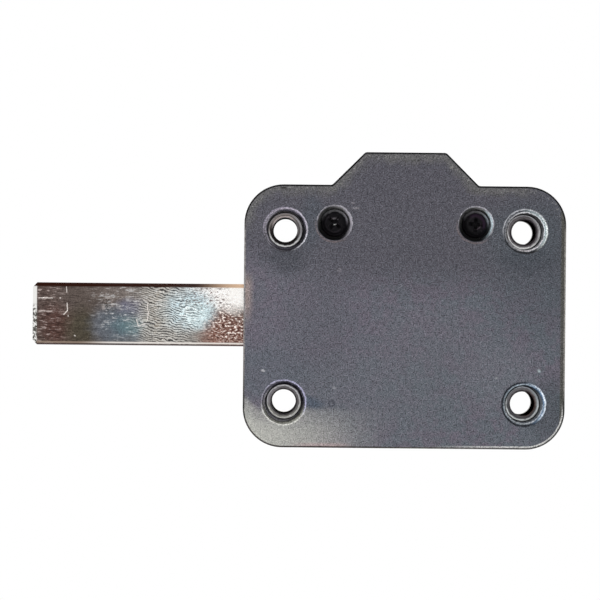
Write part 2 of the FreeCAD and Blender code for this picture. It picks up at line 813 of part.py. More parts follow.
def leaf_rivet():
    """Rivet that holds the leaf spring on the back plate."""
    seat_y = plate_y - leaf_thickness
    shank = rod_y(rivet_diameter, seat_y, 0, rivet_x, -leaf_drop)
    head = rod_y(rivet_head_diameter, seat_y - rivet_head_height, seat_y, rivet_x, -leaf_drop)
    return fuse_all(shank, [head])


def build():
    """Every sub-part with the name of its node."""
    parts = {
        "front_cover": front_cover(),
        "back_plate": back_plate(),
        "spacer_sleeves": spacer_sleeves(),
        "screw_pillars": screw_pillars(),
        "cover_screws": cover_screws(),
        "bolt": bolt(),
        "guide_pin": guide_pin(),
        "leaf_spring": leaf_spring(),
        "leaf_rivet": leaf_rivet(),
        "pinion": pinion(),
        "pinion_bush": pinion_bush(),
        "cylinder_body": cylinder_body(),
        "cylinder_plug": cylinder_plug(),
        "plug_clip": plug_clip(),
        "cylinder_fixing_screw": cylinder_fixing_screw(),
    }
    for index in range(pin_count):
        number = index + 1
        parts["key_pin_%d" % number] = key_pin(index)
        parts["driver_pin_%d" % number] = driver_pin(index)
        parts["pin_spring_%d" % number] = pin_spring(index)
        parts["chamber_plug_%d" % number] = chamber_plug(index)
    return parts


os.makedirs("parts", exist_ok=True)
for name, shape in build().items():
    shape.exportStep("parts/" + name + ".step")
    print(name, len(shape.Solids), round(shape.Volume, 2), shape.isValid())
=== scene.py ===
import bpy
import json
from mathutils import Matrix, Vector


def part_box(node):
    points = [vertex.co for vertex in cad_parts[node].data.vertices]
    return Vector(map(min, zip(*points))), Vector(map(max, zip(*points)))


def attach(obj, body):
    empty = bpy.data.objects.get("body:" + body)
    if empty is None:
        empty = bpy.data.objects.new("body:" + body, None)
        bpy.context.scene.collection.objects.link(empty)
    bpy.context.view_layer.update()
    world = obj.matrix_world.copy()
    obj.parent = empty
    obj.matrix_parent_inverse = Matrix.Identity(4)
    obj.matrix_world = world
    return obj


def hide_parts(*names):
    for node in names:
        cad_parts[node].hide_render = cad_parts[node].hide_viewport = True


bl_info = {
    "name": "Surface mounted deadbolt",
    "version": (1, 0, 0),
    "blender": (4, 5, 0),
    "location": "View3D > Sidebar > Deadbolt",
    "description": "Dresses a surface mounted deadbolt with its finishes, its screws and a studio",
    "category": "Object",
}

import json
import math

import bmesh
import bpy
from mathutils import Matrix, Vector

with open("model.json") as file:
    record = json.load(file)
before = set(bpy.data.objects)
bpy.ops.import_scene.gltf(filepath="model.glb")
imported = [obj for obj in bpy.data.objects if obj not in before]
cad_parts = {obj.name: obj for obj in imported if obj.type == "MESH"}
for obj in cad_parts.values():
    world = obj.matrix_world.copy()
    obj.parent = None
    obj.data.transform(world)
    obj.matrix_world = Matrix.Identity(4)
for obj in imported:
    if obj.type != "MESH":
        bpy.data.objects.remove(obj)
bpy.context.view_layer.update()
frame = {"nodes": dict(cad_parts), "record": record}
NODES = frame["nodes"]
MOUNTS = {mount["name"]: mount for mount in frame["record"]["mounts"]}

MILLIMETRE = 0.001
ALONG_Y = Vector((0, 1, 0))

# The case and its holes as the frame gives them, in millimetres
COVER_LOW, COVER_HIGH = (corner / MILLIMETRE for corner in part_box("front_cover"))
BOLT_LOW, BOLT_HIGH = (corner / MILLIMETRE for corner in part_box("bolt"))
SLEEVES_LOW, SLEEVES_HIGH = (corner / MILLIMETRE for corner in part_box("spacer_sleeves"))
SCREWS_LOW, SCREWS_HIGH = (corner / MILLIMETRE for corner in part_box("cover_screws"))
FACE_Y = COVER_LOW.y
SHOULDER_Z = -COVER_LOW.z
PATTERN = MOUNTS["mounting_holes"]["dims"]
MOUNT_X = PATTERN["spacing_x_mm"] / 2
MOUNT_Z = PATTERN["spacing_y_mm"] / 2
BORE_RADIUS = PATTERN["hole_r_mm"]
SLEEVE_RADIUS = SLEEVES_HIGH.x - MOUNT_X
SCREW_HEAD_RADIUS = (SCREWS_HIGH.z - SCREWS_LOW.z) / 2
SCREW_X = SCREWS_HIGH.x - SCREW_HEAD_RADIUS
SCREW_Z = (SCREWS_HIGH.z + SCREWS_LOW.z) / 2
PLUG_Z = MOUNTS["key_entry"]["pos_m"][2] / MILLIMETRE

# Corner radius of the case and half the width of the raised part's flat top
CORNER_RADIUS = 10.0
BUMP_TOP_HALF = 10.3

# Outer radius of the mounting holes' lips and of the screws' recesses
LIP_RADIUS = 5.6
RECESS_RADIUS = 4.5

# Height of a cover screw's head and radius of its thread, as in the frame
SCREW_HEAD_HEIGHT = 2.2
SCREW_SHANK_RADIUS = 2.0

# Where the photograph was taken from, in millimetres
CAMERA_PLACE = (-26.66, -892.0, 4.07)

# Places of the lamps, and the radius of the floor, in metres
KEY_PLACE = (-0.53, -0.46, -0.27)
FILL_PLACE = (0.6, -0.6, 0.4)
BACK_PLACE = (0.2, 0.7, 0.45)
FLOOR_RADIUS = 0.7


def display(red, green, blue):
    """Linear colour of a colour as a screen shows it, each part from 0 to 255."""
    parts = [part / 255 for part in (red, green, blue)]
    return tuple(part / 12.92 if part < 0.04045 else ((part + 0.055) / 1.055) ** 2.4 for part in parts)


def colour(name, description, value):
    """A colour that the user can change."""
    return bpy.props.FloatVectorProperty(
        name=name, description=description, subtype="COLOR", size=3, min=0, max=1, default=value
    )


def length(name, description, value):
    """A length in metres that the user can change, given here in millimetres."""
    return bpy.props.FloatProperty(
        name=name, description=description, unit="LENGTH", min=0, default=value * MILLIMETRE
    )


def share(name, description, value, most=1.0):
    """A plain number that the user can change."""
    return bpy.props.FloatProperty(name=name, description=description, min=0, max=most, default=value)


class CoverSettings(bpy.types.PropertyGroup):
    paint: colour("Paint", "Dark grey metallic paint of the case", display(105, 101, 112))
    cool: colour("Cool patches", "Bluish grey where the paint lies thinner", display(99, 104, 112))
    # Painted shade: the darker upper part of the face
    upper_shade: colour("Upper part", "Darker grey of the upper part of the face", display(88, 87, 95))
    olive: colour("Top band", "Olive grey just under the top edges", display(108, 107, 104))
    # Painted reflection: the pale warm sheen at the lower left corner
    warm: colour("Warm patch", "Pale warm sheen at the lower left corner", display(184, 184, 178))
    # Painted shade: the black line along the broken edge
    line: colour("Edge line", "Black line where the paint rolls over the edge", display(8, 8, 9))
    grain_size: length("Grain size", "Size of the paint's grain", 0.31)
    grain_depth: length("Grain depth", "Height of the paint's grain", 0.03)
    grain_contrast: share("Grain contrast", "Difference of light and dark grains", 3.8, 6.0)
    roughness: share("Roughness", "Roughness of the paint", 0.46)


class BoltSettings(bpy.types.PropertyGroup):
    # Painted reflection: the plate's tones on the front stand for the room it mirrors; the clean plate
    # is the colour of the other faces
    plate: colour("Plating", "Nickel plate at the bolt's middle", display(128, 118, 112))
    clean: colour("Clean plating", "Nickel plate away from the worn front", display(172, 166, 160))
    ripple_pitch: length("Ripple pitch", "Spacing of the fine ripples in the plate", 0.62)
    ripple_depth: length("Ripple depth", "Height of the ripples", 0.004)
    roughness: share("Roughness", "Roughness of the plate", 0.16)


class SleeveSettings(bpy.types.PropertyGroup):
    chamfer: length("Chamfer", "Chamfer at both ends of a sleeve", 0.14)
    metal: colour("Metal", "Turned steel with a dull zinc plate", display(124, 120, 122))
    # Painted shade: the bore is painted dark for the shade deep in the hole
    bore: colour("Bore", "Dark oiled bore of a sleeve", display(16, 9, 8))


class ScrewSettings(bpy.types.PropertyGroup):
    finish: colour("Finish", "Black oxide of the cover's screws", display(13, 12, 15))
    arm_width: length("Arm width", "Width of an arm of the cross recess", 1.0)
    arm_length: length("Arm length", "Length across the cross recess", 4.4)
    arm_depth: length("Arm depth", "Depth of the cross recess", 1.3)
    left_turn: bpy.props.FloatProperty(
        name="Left turn", description="Turn of the left screw's cross",
        subtype="ANGLE", default=math.radians(40),
    )
    right_turn: bpy.props.FloatProperty(
        name="Right turn", description="Turn of the right screw's cross",
        subtype="ANGLE", default=math.radians(4),
    )
    thread_pitch: length("Thread pitch", "Spacing of the thread's ridges", 0.7)


class MetalSettings(bpy.types.PropertyGroup):
    zinc: colour("Zinc", "Zinc plate on sheet steel", display(150, 152, 156))
    nickel: colour("Nickel", "Satin nickel of the cylinder", display(164, 160, 152))
    brass: colour("Brass", "Bare brass of the plug's keyway and pins", display(196, 164, 98))
    steel: colour("Hard steel", "Ground hardened steel", display(128, 128, 130))
    spring: colour("Spring steel", "Blue grey of tempered spring steel", display(98, 104, 114))
    bronze: colour("Bronze", "Sintered bronze of the bush", display(150, 110, 72))


class StageSettings(bpy.types.PropertyGroup):
    floor_drop: length("Floor", "Drop from the part's origin to the floor", 320)
    key_power: bpy.props.FloatProperty(
        name="Key", description="Power of the soft lamp low at the left", unit="POWER", default=4.75
    )
    fill_power: bpy.props.FloatProperty(
        name="Fill", description="Power of the soft lamp at the right", unit="POWER", default=1.2
    )
    sky: share("Sky", "Strength of the room's even light", 0.36)
    lens: bpy.props.FloatProperty(
        name="Lens", description="Focal length of the camera", subtype="DISTANCE_CAMERA", default=205.0
    )
    roll: bpy.props.FloatProperty(
        name="Roll", description="Clockwise tilt of the picture",
        subtype="ANGLE", default=math.radians(0.55),
    )


class Recipe:
    """Adds nodes to the tree of a material or a group, and wires them."""

    def __init__(self, tree):
        self.tree = tree

    def feed(self, socket, value):
        """Wire a socket to another node, or set its value."""
        if isinstance(value, bpy.types.NodeSocket):
            self.tree.links.new(value, socket)
        elif socket.type == "RGBA":
            socket.default_value = (*value, 1.0)
        else:
            socket.default_value = value

    def put(self, kind, inputs=None, **settings):
        """A new node with its settings and its inputs."""
        made = self.tree.nodes.new("ShaderNode" + kind)
        for name, value in settings.items():
            setattr(made, name, value)
        for name, value in (inputs or {}).items():
            self.feed(made.inputs[name], value)
        return made

    def math(self, operation, first, second=0.0, clamp=False):
        """One sum on numbers."""
        made = self.put("Math", {0: first, 1: second}, operation=operation, use_clamp=clamp)
        return made.outputs[0]

    def vector(self, operation, first, second=(0, 0, 0)):
        """One sum on vectors, as a vector or, for lengths and products, a number."""
        made = self.put("VectorMath", {0: first}, operation=operation)
        if operation == "SCALE":
            self.feed(made.inputs["Scale"], second)
        else:
            self.feed(made.inputs[1], second)
        return made.outputs["Value" if operation in ("LENGTH", "DOT_PRODUCT") else "Vector"]

    def fade(self, value, start, end):
        """A smooth mask that goes from 0 at start to 1 at end."""
        made = self.put(
            "MapRange",
            {"Value": value, "From Min": start, "From Max": end},
            interpolation_type="SMOOTHSTEP",
        )
        return made.outputs["Result"]

    def between(self, value, low, high):
        """A share from 0 to 1 spread over a range."""
        return self.put("MapRange", {"Value": value, "To Min": low, "To Max": high}).outputs["Result"]

    def mix(self, mask, under, over, blend_type="MIX"):
        """A colour laid over another by a mask."""
        made = self.put("Mix", {0: mask, 6: under, 7: over}, data_type="RGBA", blend_type=blend_type)
        return made.outputs[2]

    def noise(self, place, size, detail=2.0, roughness=0.5, output="Fac"):
        """Noise whose lumps have about the given size in millimetres."""
        made = self.put(
            "TexNoise",
            {"Vector": place, "Scale": 1 / size, "Detail": detail, "Roughness": roughness},
        )
        return made.outputs[output]

    def parts(self, place):
        """The X, Y and Z of a vector."""
        return self.put("SeparateXYZ", {0: place}).outputs

    def group(self, name, output, **inputs):
        """A shared group, with its inputs written with underscores for spaces."""
        made = self.put("Group", node_tree=bpy.data.node_groups[name])
        for title, value in inputs.items():
            self.feed(made.inputs[title.replace("_", " ").capitalize()], value)
        return made.outputs[output]


def new_group(name, inputs, outputs):
    """An empty shader node group with its sockets, its recipe and its two ends."""
    tree = bpy.data.node_groups.new(name, "ShaderNodeTree")
    for title, kind, value in inputs:
        socket = tree.interface.new_socket(title, in_out="INPUT", socket_type="NodeSocket" + kind)
        if value is not None:
            socket.default_value = value
    for title in outputs:
        tree.interface.new_socket(title, in_out="OUTPUT", socket_type="NodeSocketFloat")
    recipe = Recipe(tree)
    given = tree.nodes.new("NodeGroupInput").outputs
    result = tree.nodes.new("NodeGroupOutput").inputs
    return recipe, given, result


def make_grain_group():
    """Fine grain of a sprayed or plated surface, two sizes laid together."""
    recipe, given, result = new_group(
        "Fine grain", [("Place", "Vector", None), ("Size", "Float", 0.4)], ["Value"]
    )
    scaled = recipe.vector("SCALE", given["Place"], recipe.math("DIVIDE", 1.0, given["Size"]))
    fine = recipe.noise(scaled, 1.0, 1.0)
    coarse = recipe.noise(scaled, 3.1, 2.0)
    recipe.feed(result["Value"], recipe.math("ADD", recipe.math("MULTIPLY", fine, 0.74),
                                             recipe.math("MULTIPLY", coarse, 0.26)))


def make_zone_group():
    """A soft patch, round or long, whose border wanders."""
    recipe, given, result = new_group(
        "Soft zone",
        [("Place", "Vector", None), ("Centre", "Vector", (0, 0, 0)), ("Reach", "Vector", (1, 1, 1)),
         ("Softness", "Float", 0.5), ("Wander", "Float", 1.0), ("Lump", "Float", 5.0)],
        ["Mask"],
    )
    spread = recipe.vector("SCALE", given["Place"], recipe.math("DIVIDE", 1.0, given["Lump"]))
    drift = recipe.vector("SUBTRACT", recipe.noise(spread, 1.0, 3.0, output="Color"), (0.5, 0.5, 0.5))
    drift = recipe.vector("SCALE", drift, given["Wander"])
    place = recipe.vector("ADD", given["Place"], drift)
    place = recipe.vector("SUBTRACT", place, given["Centre"])
    place = recipe.vector("DIVIDE", place, given["Reach"])
    flat = recipe.vector("MULTIPLY", place, (1, 0, 1))
    distance = recipe.vector("LENGTH", flat)
    near = recipe.math("SUBTRACT", 1.0, given["Softness"])
    far = recipe.math("ADD", 1.0, given["Softness"])
    recipe.feed(result["Mask"], recipe.math("SUBTRACT", 1.0, recipe.fade(distance, near, far)))


def make_ring_group():
    """A circle or a part of it, drawn about an axis along Y."""
    recipe, given, result = new_group(
        "Circle line",
        [("Place", "Vector", None), ("Centre", "Vector", (0, 0, 0)), ("Radius", "Float", 5.0),
         ("Width", "Float", 0.3), ("Towards", "Vector", (1, 0, 0)), ("Reach", "Float", -2.0)],
        ["Mask", "Inside"],
    )
    offset = recipe.vector("SUBTRACT", given["Place"], given["Centre"])
    offset = recipe.vector("MULTIPLY", offset, (1, 0, 1))
    distance = recipe.vector("LENGTH", offset)
    gap = recipe.math("ABSOLUTE", recipe.math("SUBTRACT", distance, given["Radius"]))
    line = recipe.math("SUBTRACT", 1.0, recipe.fade(gap, 0.0, given["Width"]))
    side = recipe.vector("DOT_PRODUCT", recipe.vector("NORMALIZE", offset), given["Towards"])
    start = recipe.math("SUBTRACT", given["Reach"], 0.4)
    end = recipe.math("ADD", given["Reach"], 0.4)
    recipe.feed(result["Mask"], recipe.math("MULTIPLY", line, recipe.fade(side, start, end)))
    recipe.feed(result["Inside"], recipe.math("LESS_THAN", distance, given["Radius"]))


def make_stroke_group():
    """A straight scratch from one point to another, with soft sides."""
    recipe, given, result = new_group(
        "Scratch stroke",
        [("Place", "Vector", None), ("Start", "Vector", (0, 0, 0)), ("End", "Vector", (1, 0, 0)),
         ("Width", "Float", 0.15)],
        ["Mask"],
    )
    offset = recipe.vector("SUBTRACT", given["Place"], given["Start"])
    offset = recipe.vector("MULTIPLY", offset, (1, 0, 1))
    run = recipe.vector("SUBTRACT", given["End"], given["Start"])
    run = recipe.vector("MULTIPLY", run, (1, 0, 1))
    along = recipe.math("DIVIDE", recipe.vector("DOT_PRODUCT", offset, run),
                        recipe.vector("DOT_PRODUCT", run, run), clamp=True)
    nearest = recipe.vector("SCALE", run, along)
    distance = recipe.vector("LENGTH", recipe.vector("SUBTRACT", offset, nearest))
    recipe.feed(result["Mask"], recipe.math("SUBTRACT", 1.0, recipe.fade(distance, 0.0, given["Width"])))


def make_brushed_group():
    """Fine parallel lines that follow the direction with the small stretch."""
    recipe, given, result = new_group(
        "Brushed lines", [("Place", "Vector", None), ("Stretch", "Vector", (1, 1, 10))], ["Value"]
    )
    stretched = recipe.vector("MULTIPLY", given["Place"], given["Stretch"])
    lines = recipe.noise(stretched, 1.0, 3.0, 0.6)
    broad = recipe.noise(stretched, 4.0, 2.0)
    recipe.feed(result["Value"], recipe.math("ADD", recipe.math("MULTIPLY", lines, 0.7),
                                             recipe.math("MULTIPLY", broad, 0.3)))


def make_turned_group():
    """Rings that a lathe leaves round an axis along Y."""
    recipe, given, result = new_group(
        "Turned rings",
        [("Place", "Vector", None), ("Centre", "Vector", (0, 0, 0)), ("Pitch", "Float", 0.3)],
        ["Value"],
    )
    offset = recipe.vector("SUBTRACT", given["Place"], given["Centre"])
    distance = recipe.vector("LENGTH", recipe.vector("MULTIPLY", offset, (1, 0, 1)))
    reach = recipe.math("ADD", distance, recipe.math("MULTIPLY", recipe.parts(offset)["Y"], 0.8))
    reach = recipe.math("ADD", reach, recipe.math("MULTIPLY", recipe.noise(offset, 2.0), 0.12))
    turns = recipe.math("DIVIDE", reach, given["Pitch"])
    wave = recipe.math("SINE", recipe.math("MULTIPLY", turns, math.tau))
    rough = recipe.noise(offset, 0.25, 2.0)
    ring = recipe.math("ADD", recipe.math("MULTIPLY", wave, 0.28), rough)
    recipe.feed(result["Value"], ring)


def make_groups():
    """Every shared group, made once."""
    if "Fine grain" in bpy.data.node_groups:
        return
    make_grain_group()
    make_zone_group()
    make_ring_group()
    make_stroke_group()
    make_brushed_group()
    make_turned_group()


def new_material(name):
    """A material with its recipe, its shader and the place in millimetres."""
    make_groups()
    material = bpy.data.materials.new(name)
    material.use_nodes = True
    recipe = Recipe(material.node_tree)
    shader = material.node_tree.nodes["Principled BSDF"]
    coordinates = recipe.put("TexCoord").outputs["Object"]
    place = recipe.vector("SCALE", coordinates, 1 / MILLIMETRE)
    return material, recipe, shader, place


def bump(recipe, height, depth, strength=1.0):
    """A normal from a height of 0 to 1 that stands for a depth in metres."""
    made = recipe.put("Bump", {"Height": height, "Distance": depth, "Strength": strength})
    return made.outputs["Normal"]


def laid_over(recipe, under, mask, strength, over):
    """A colour laid over another with a strength."""
    return recipe.mix(recipe.math("MULTIPLY", mask, strength, clamp=True), under, over)


def with_arcs(recipe, tone, place, centre, arcs):
    """Lay parts of circles over a colour, each pointing towards an angle from the right upwards."""
    for radius, width, angle, reach, strength, over in arcs:
        towards = (math.cos(math.radians(angle)), 0, math.sin(math.radians(angle)))
        mask = recipe.group("Circle line", "Mask", place=place, centre=centre, radius=radius,
                            width=width, towards=towards, reach=reach)
        tone = laid_over(recipe, tone, mask, strength, display(*over))
    return tone


def unsteady(recipe, place, lump, amount):
    """The place moved about by noise, for lines that are not drawn with a ruler."""
    drift = recipe.vector("SUBTRACT", recipe.noise(place, lump, 2.0, output="Color"), (0.5, 0.5, 0.5))
    return recipe.vector("ADD", place, recipe.vector("SCALE", drift, amount))


def inside_gap(recipe, place):
    """How far a point of the face lies inside the case's outline, in millimetres."""
    x = recipe.parts(place)["X"]
    z = recipe.parts(place)["Z"]
    flat = recipe.vector("ABSOLUTE", recipe.vector("MULTIPLY", place, (1, 0, 1)))
    core = (COVER_HIGH.x - CORNER_RADIUS, 0, SHOULDER_Z - CORNER_RADIUS)
    past = recipe.vector("SUBTRACT", flat, core)
    round_part = recipe.vector("LENGTH", recipe.vector("MAXIMUM", past, (0, 0, 0)))
    past_parts = recipe.parts(past)
    flat_part = recipe.math("MAXIMUM", past_parts["X"], past_parts["Z"])
    flat_part = recipe.math("MINIMUM", flat_part, 0.0)
    body = recipe.math("SUBTRACT", CORNER_RADIUS, recipe.math("ADD", round_part, flat_part))
    top = recipe.math("SUBTRACT", COVER_HIGH.z, z)
    slant = recipe.math("SUBTRACT", BUMP_TOP_HALF, recipe.math("ABSOLUTE", x))
    slant = recipe.math("MULTIPLY", recipe.math("ADD", slant, top), math.sqrt(0.5))
    foot = recipe.math("SUBTRACT", z, SHOULDER_Z - CORNER_RADIUS)
    raised = recipe.math("MINIMUM", recipe.math("MINIMUM", top, slant), foot)
    return recipe.math("MAXIMUM", body, raised)


# Painted highlights and shadows round each mounting hole: radius, width, angle, reach, strength and
# colour
LIP_HIGHLIGHTS_AND_SHADOWS = {
    (-1, 1): (
        (5.3, 0.6, 275, 0.0, 0.92, (18, 18, 22)),
        (4.7, 0.44, 50, -0.6, 1.0, (6, 5, 8)),
        (4.8, 0.6, 0, 0.5, 0.97, (8, 8, 12)),
        (5.58, 0.3, 5, 0.5, 0.97, (236, 236, 244)),
        (5.55, 0.3, 85, -0.1, 0.8, (176, 168, 186)),
        (5.35, 0.22, 125, 0.5, 0.85, (204, 196, 210)),
        (5.0, 0.34, 175, 0.6, 0.9, (192, 188, 200)),
        (5.42, 0.22, 190, 0.4, 0.8, (176, 172, 184)),
    ),
    (1, 1): (
        (5.5, 0.4, 265, 0.2, 0.95, (16, 14, 16)),
        (4.9, 0.32, 262, 0.0, 0.97, (240, 236, 240)),
        (5.66, 0.28, 100, 0.1, 0.9, (196, 198, 204)),
        (5.25, 0.24, 100, 0.1, 0.8, (64, 66, 72)),
        (4.92, 0.3, 85, -0.1, 0.95, (236, 236, 240)),
        (4.6, 0.26, 110, -0.3, 0.97, (8, 7, 10)),
        (5.2, 0.55, 20, 0.5, 0.92, (168, 184, 188)),
        (5.5, 0.36, 2, 0.75, 0.97, (248, 254, 254)),
        (5.2, 0.26, 180, 0.6, 0.8, (162, 164, 172)),
        (4.9, 0.22, 195, 0.7, 0.85, (26, 26, 30)),
    ),
    (-1, -1): (
        (4.85, 0.8, 15, -0.1, 1.0, (2, 0, 10)),
        (4.7, 0.5, 100, -0.3, 1.0, (4, 3, 8)),
        (5.65, 0.3, 50, 0.1, 0.92, (188, 186, 216)),
        (5.55, 0.26, 175, 0.4, 0.85, (170, 168, 182)),
        (4.98, 0.3, 205, 0.5, 0.9, (204, 202, 210)),
        (5.3, 0.3, 225, 0.6, 0.85, (50, 48, 50)),
        (5.25, 0.6, 265, 0.3, 0.95, (150, 150, 140)),
        (5.0, 0.22, 265, 0.2, 0.9, (44, 42, 40)),
        (5.75, 0.32, 265, 0.4, 0.95, (224, 224, 218)),
    ),
    (1, -1): (
        (5.6, 0.36, 150, -0.3, 0.95, (14, 18, 26)),
        (5.1, 0.28, 160, -0.2, 0.95, (190, 204, 216)),
        (4.75, 0.4, 140, -0.3, 1.0, (3, 4, 8)),
        (5.5, 0.5, 285, 0.4, 0.9, (30, 32, 38)),
        (4.95, 0.3, 262, 0.0, 0.95, (206, 212, 218)),
        (5.3, 0.6, 10, 0.45, 0.92, (100, 132, 166)),
        (5.45, 0.34, 15, 0.6, 0.95, (236, 244, 252)),
    ),
}

# Painted highlights and shadows, the same way, on each sleeve's face, whose bore is at its middle
SLEEVE_HIGHLIGHTS_AND_SHADOWS = {
    (-1, 1): (
        (4.0, 0.45, 110, -0.2, 0.75, (186, 176, 172)),
        (3.8, 0.22, 60, 0.5, 0.7, (70, 62, 60)),
        (3.5, 0.28, 120, 0.3, 0.85, (222, 208, 204)),
        (4.1, 0.42, 0, 0.5, 0.85, (186, 186, 190)),
        (3.6, 0.2, 0, 0.6, 0.6, (90, 84, 84)),
        (4.3, 0.24, 95, 0.3, 0.5, (190, 184, 190)),
        (3.4, 0.75, 250, 0.0, 0.98, (12, 8, 6)),
        (3.8, 0.4, 240, 0.2, 0.95, (18, 12, 10)),
        (4.2, 0.4, 265, 0.35, 1.0, (255, 255, 255)),
    ),
    (1, 1): (
        (3.25, 0.3, 0, 0.1, 0.9, (30, 20, 26)),
        (3.7, 0.3, 350, 0.3, 0.7, (124, 116, 124)),
        (4.1, 0.5, 2, 0.7, 1.0, (255, 255, 255)),
        (3.8, 0.5, 100, -0.1, 0.6, (116, 112, 116)),
        (3.35, 0.32, 120, -0.3, 0.85, (40, 36, 40)),
        (4.3, 0.26, 95, -0.2, 0.85, (210, 210, 216)),
        (3.9, 0.4, 255, 0.1, 0.8, (96, 92, 96)),
        (3.4, 0.36, 255, 0.2, 0.9, (34, 30, 32)),
        (4.2, 0.4, 250, 0.25, 1.0, (255, 255, 255)),
    ),
    (-1, -1): (
        (3.3, 0.36, 90, -2.0, 0.9, (40, 38, 40)),
        (4.15, 0.28, 95, -0.1, 0.95, (236, 236, 240)),
        (3.8, 0.42, 180, 0.4, 0.8, (156, 152, 158)),
        (3.9, 0.5, 265, 0.3, 0.8, (146, 146, 136)),
        (4.2, 0.34, 275, 0.1, 0.97, (255, 255, 246)),
        (4.1, 0.28, 325, 0.6, 0.95, (236, 236, 236)),
        (4.4, 0.26, 200, 0.4, 0.85, (196, 194, 204)),
    ),
    (1, -1): (
        (3.25, 0.32, 0, 0.0, 0.9, (64, 38, 24)),
        (3.7, 0.3, 350, 0.3, 0.7, (124, 100, 88)),
        (4.05, 0.5, 2, 0.7, 1.0, (240, 252, 255)),
        (3.9, 0.42, 100, -0.1, 0.6, (124, 126, 132)),
        (3.35, 0.32, 140, -0.3, 0.85, (46, 44, 50)),
        (4.3, 0.26, 150, -0.2, 0.9, (206, 212, 220)),
        (3.7, 0.5, 262, 0.1, 0.85, (70, 72, 76)),
        (4.22, 0.36, 262, -0.05, 0.97, (250, 255, 255)),
    ),
}

# The paint inside each lip, with each hole's tone set lighter or darker as painted light and shade
LIP_PAINT_AND_LIGHT = {
    (-1, 1): (94, 91, 102),
    (1, 1): (92, 96, 102),
    (-1, -1): (76, 74, 86),
    (1, -1): (82, 90, 100),
}

# Width of the paint's broken edge on the face, in millimetres
EDGE_START = 0.34
EDGE_END = 0.5


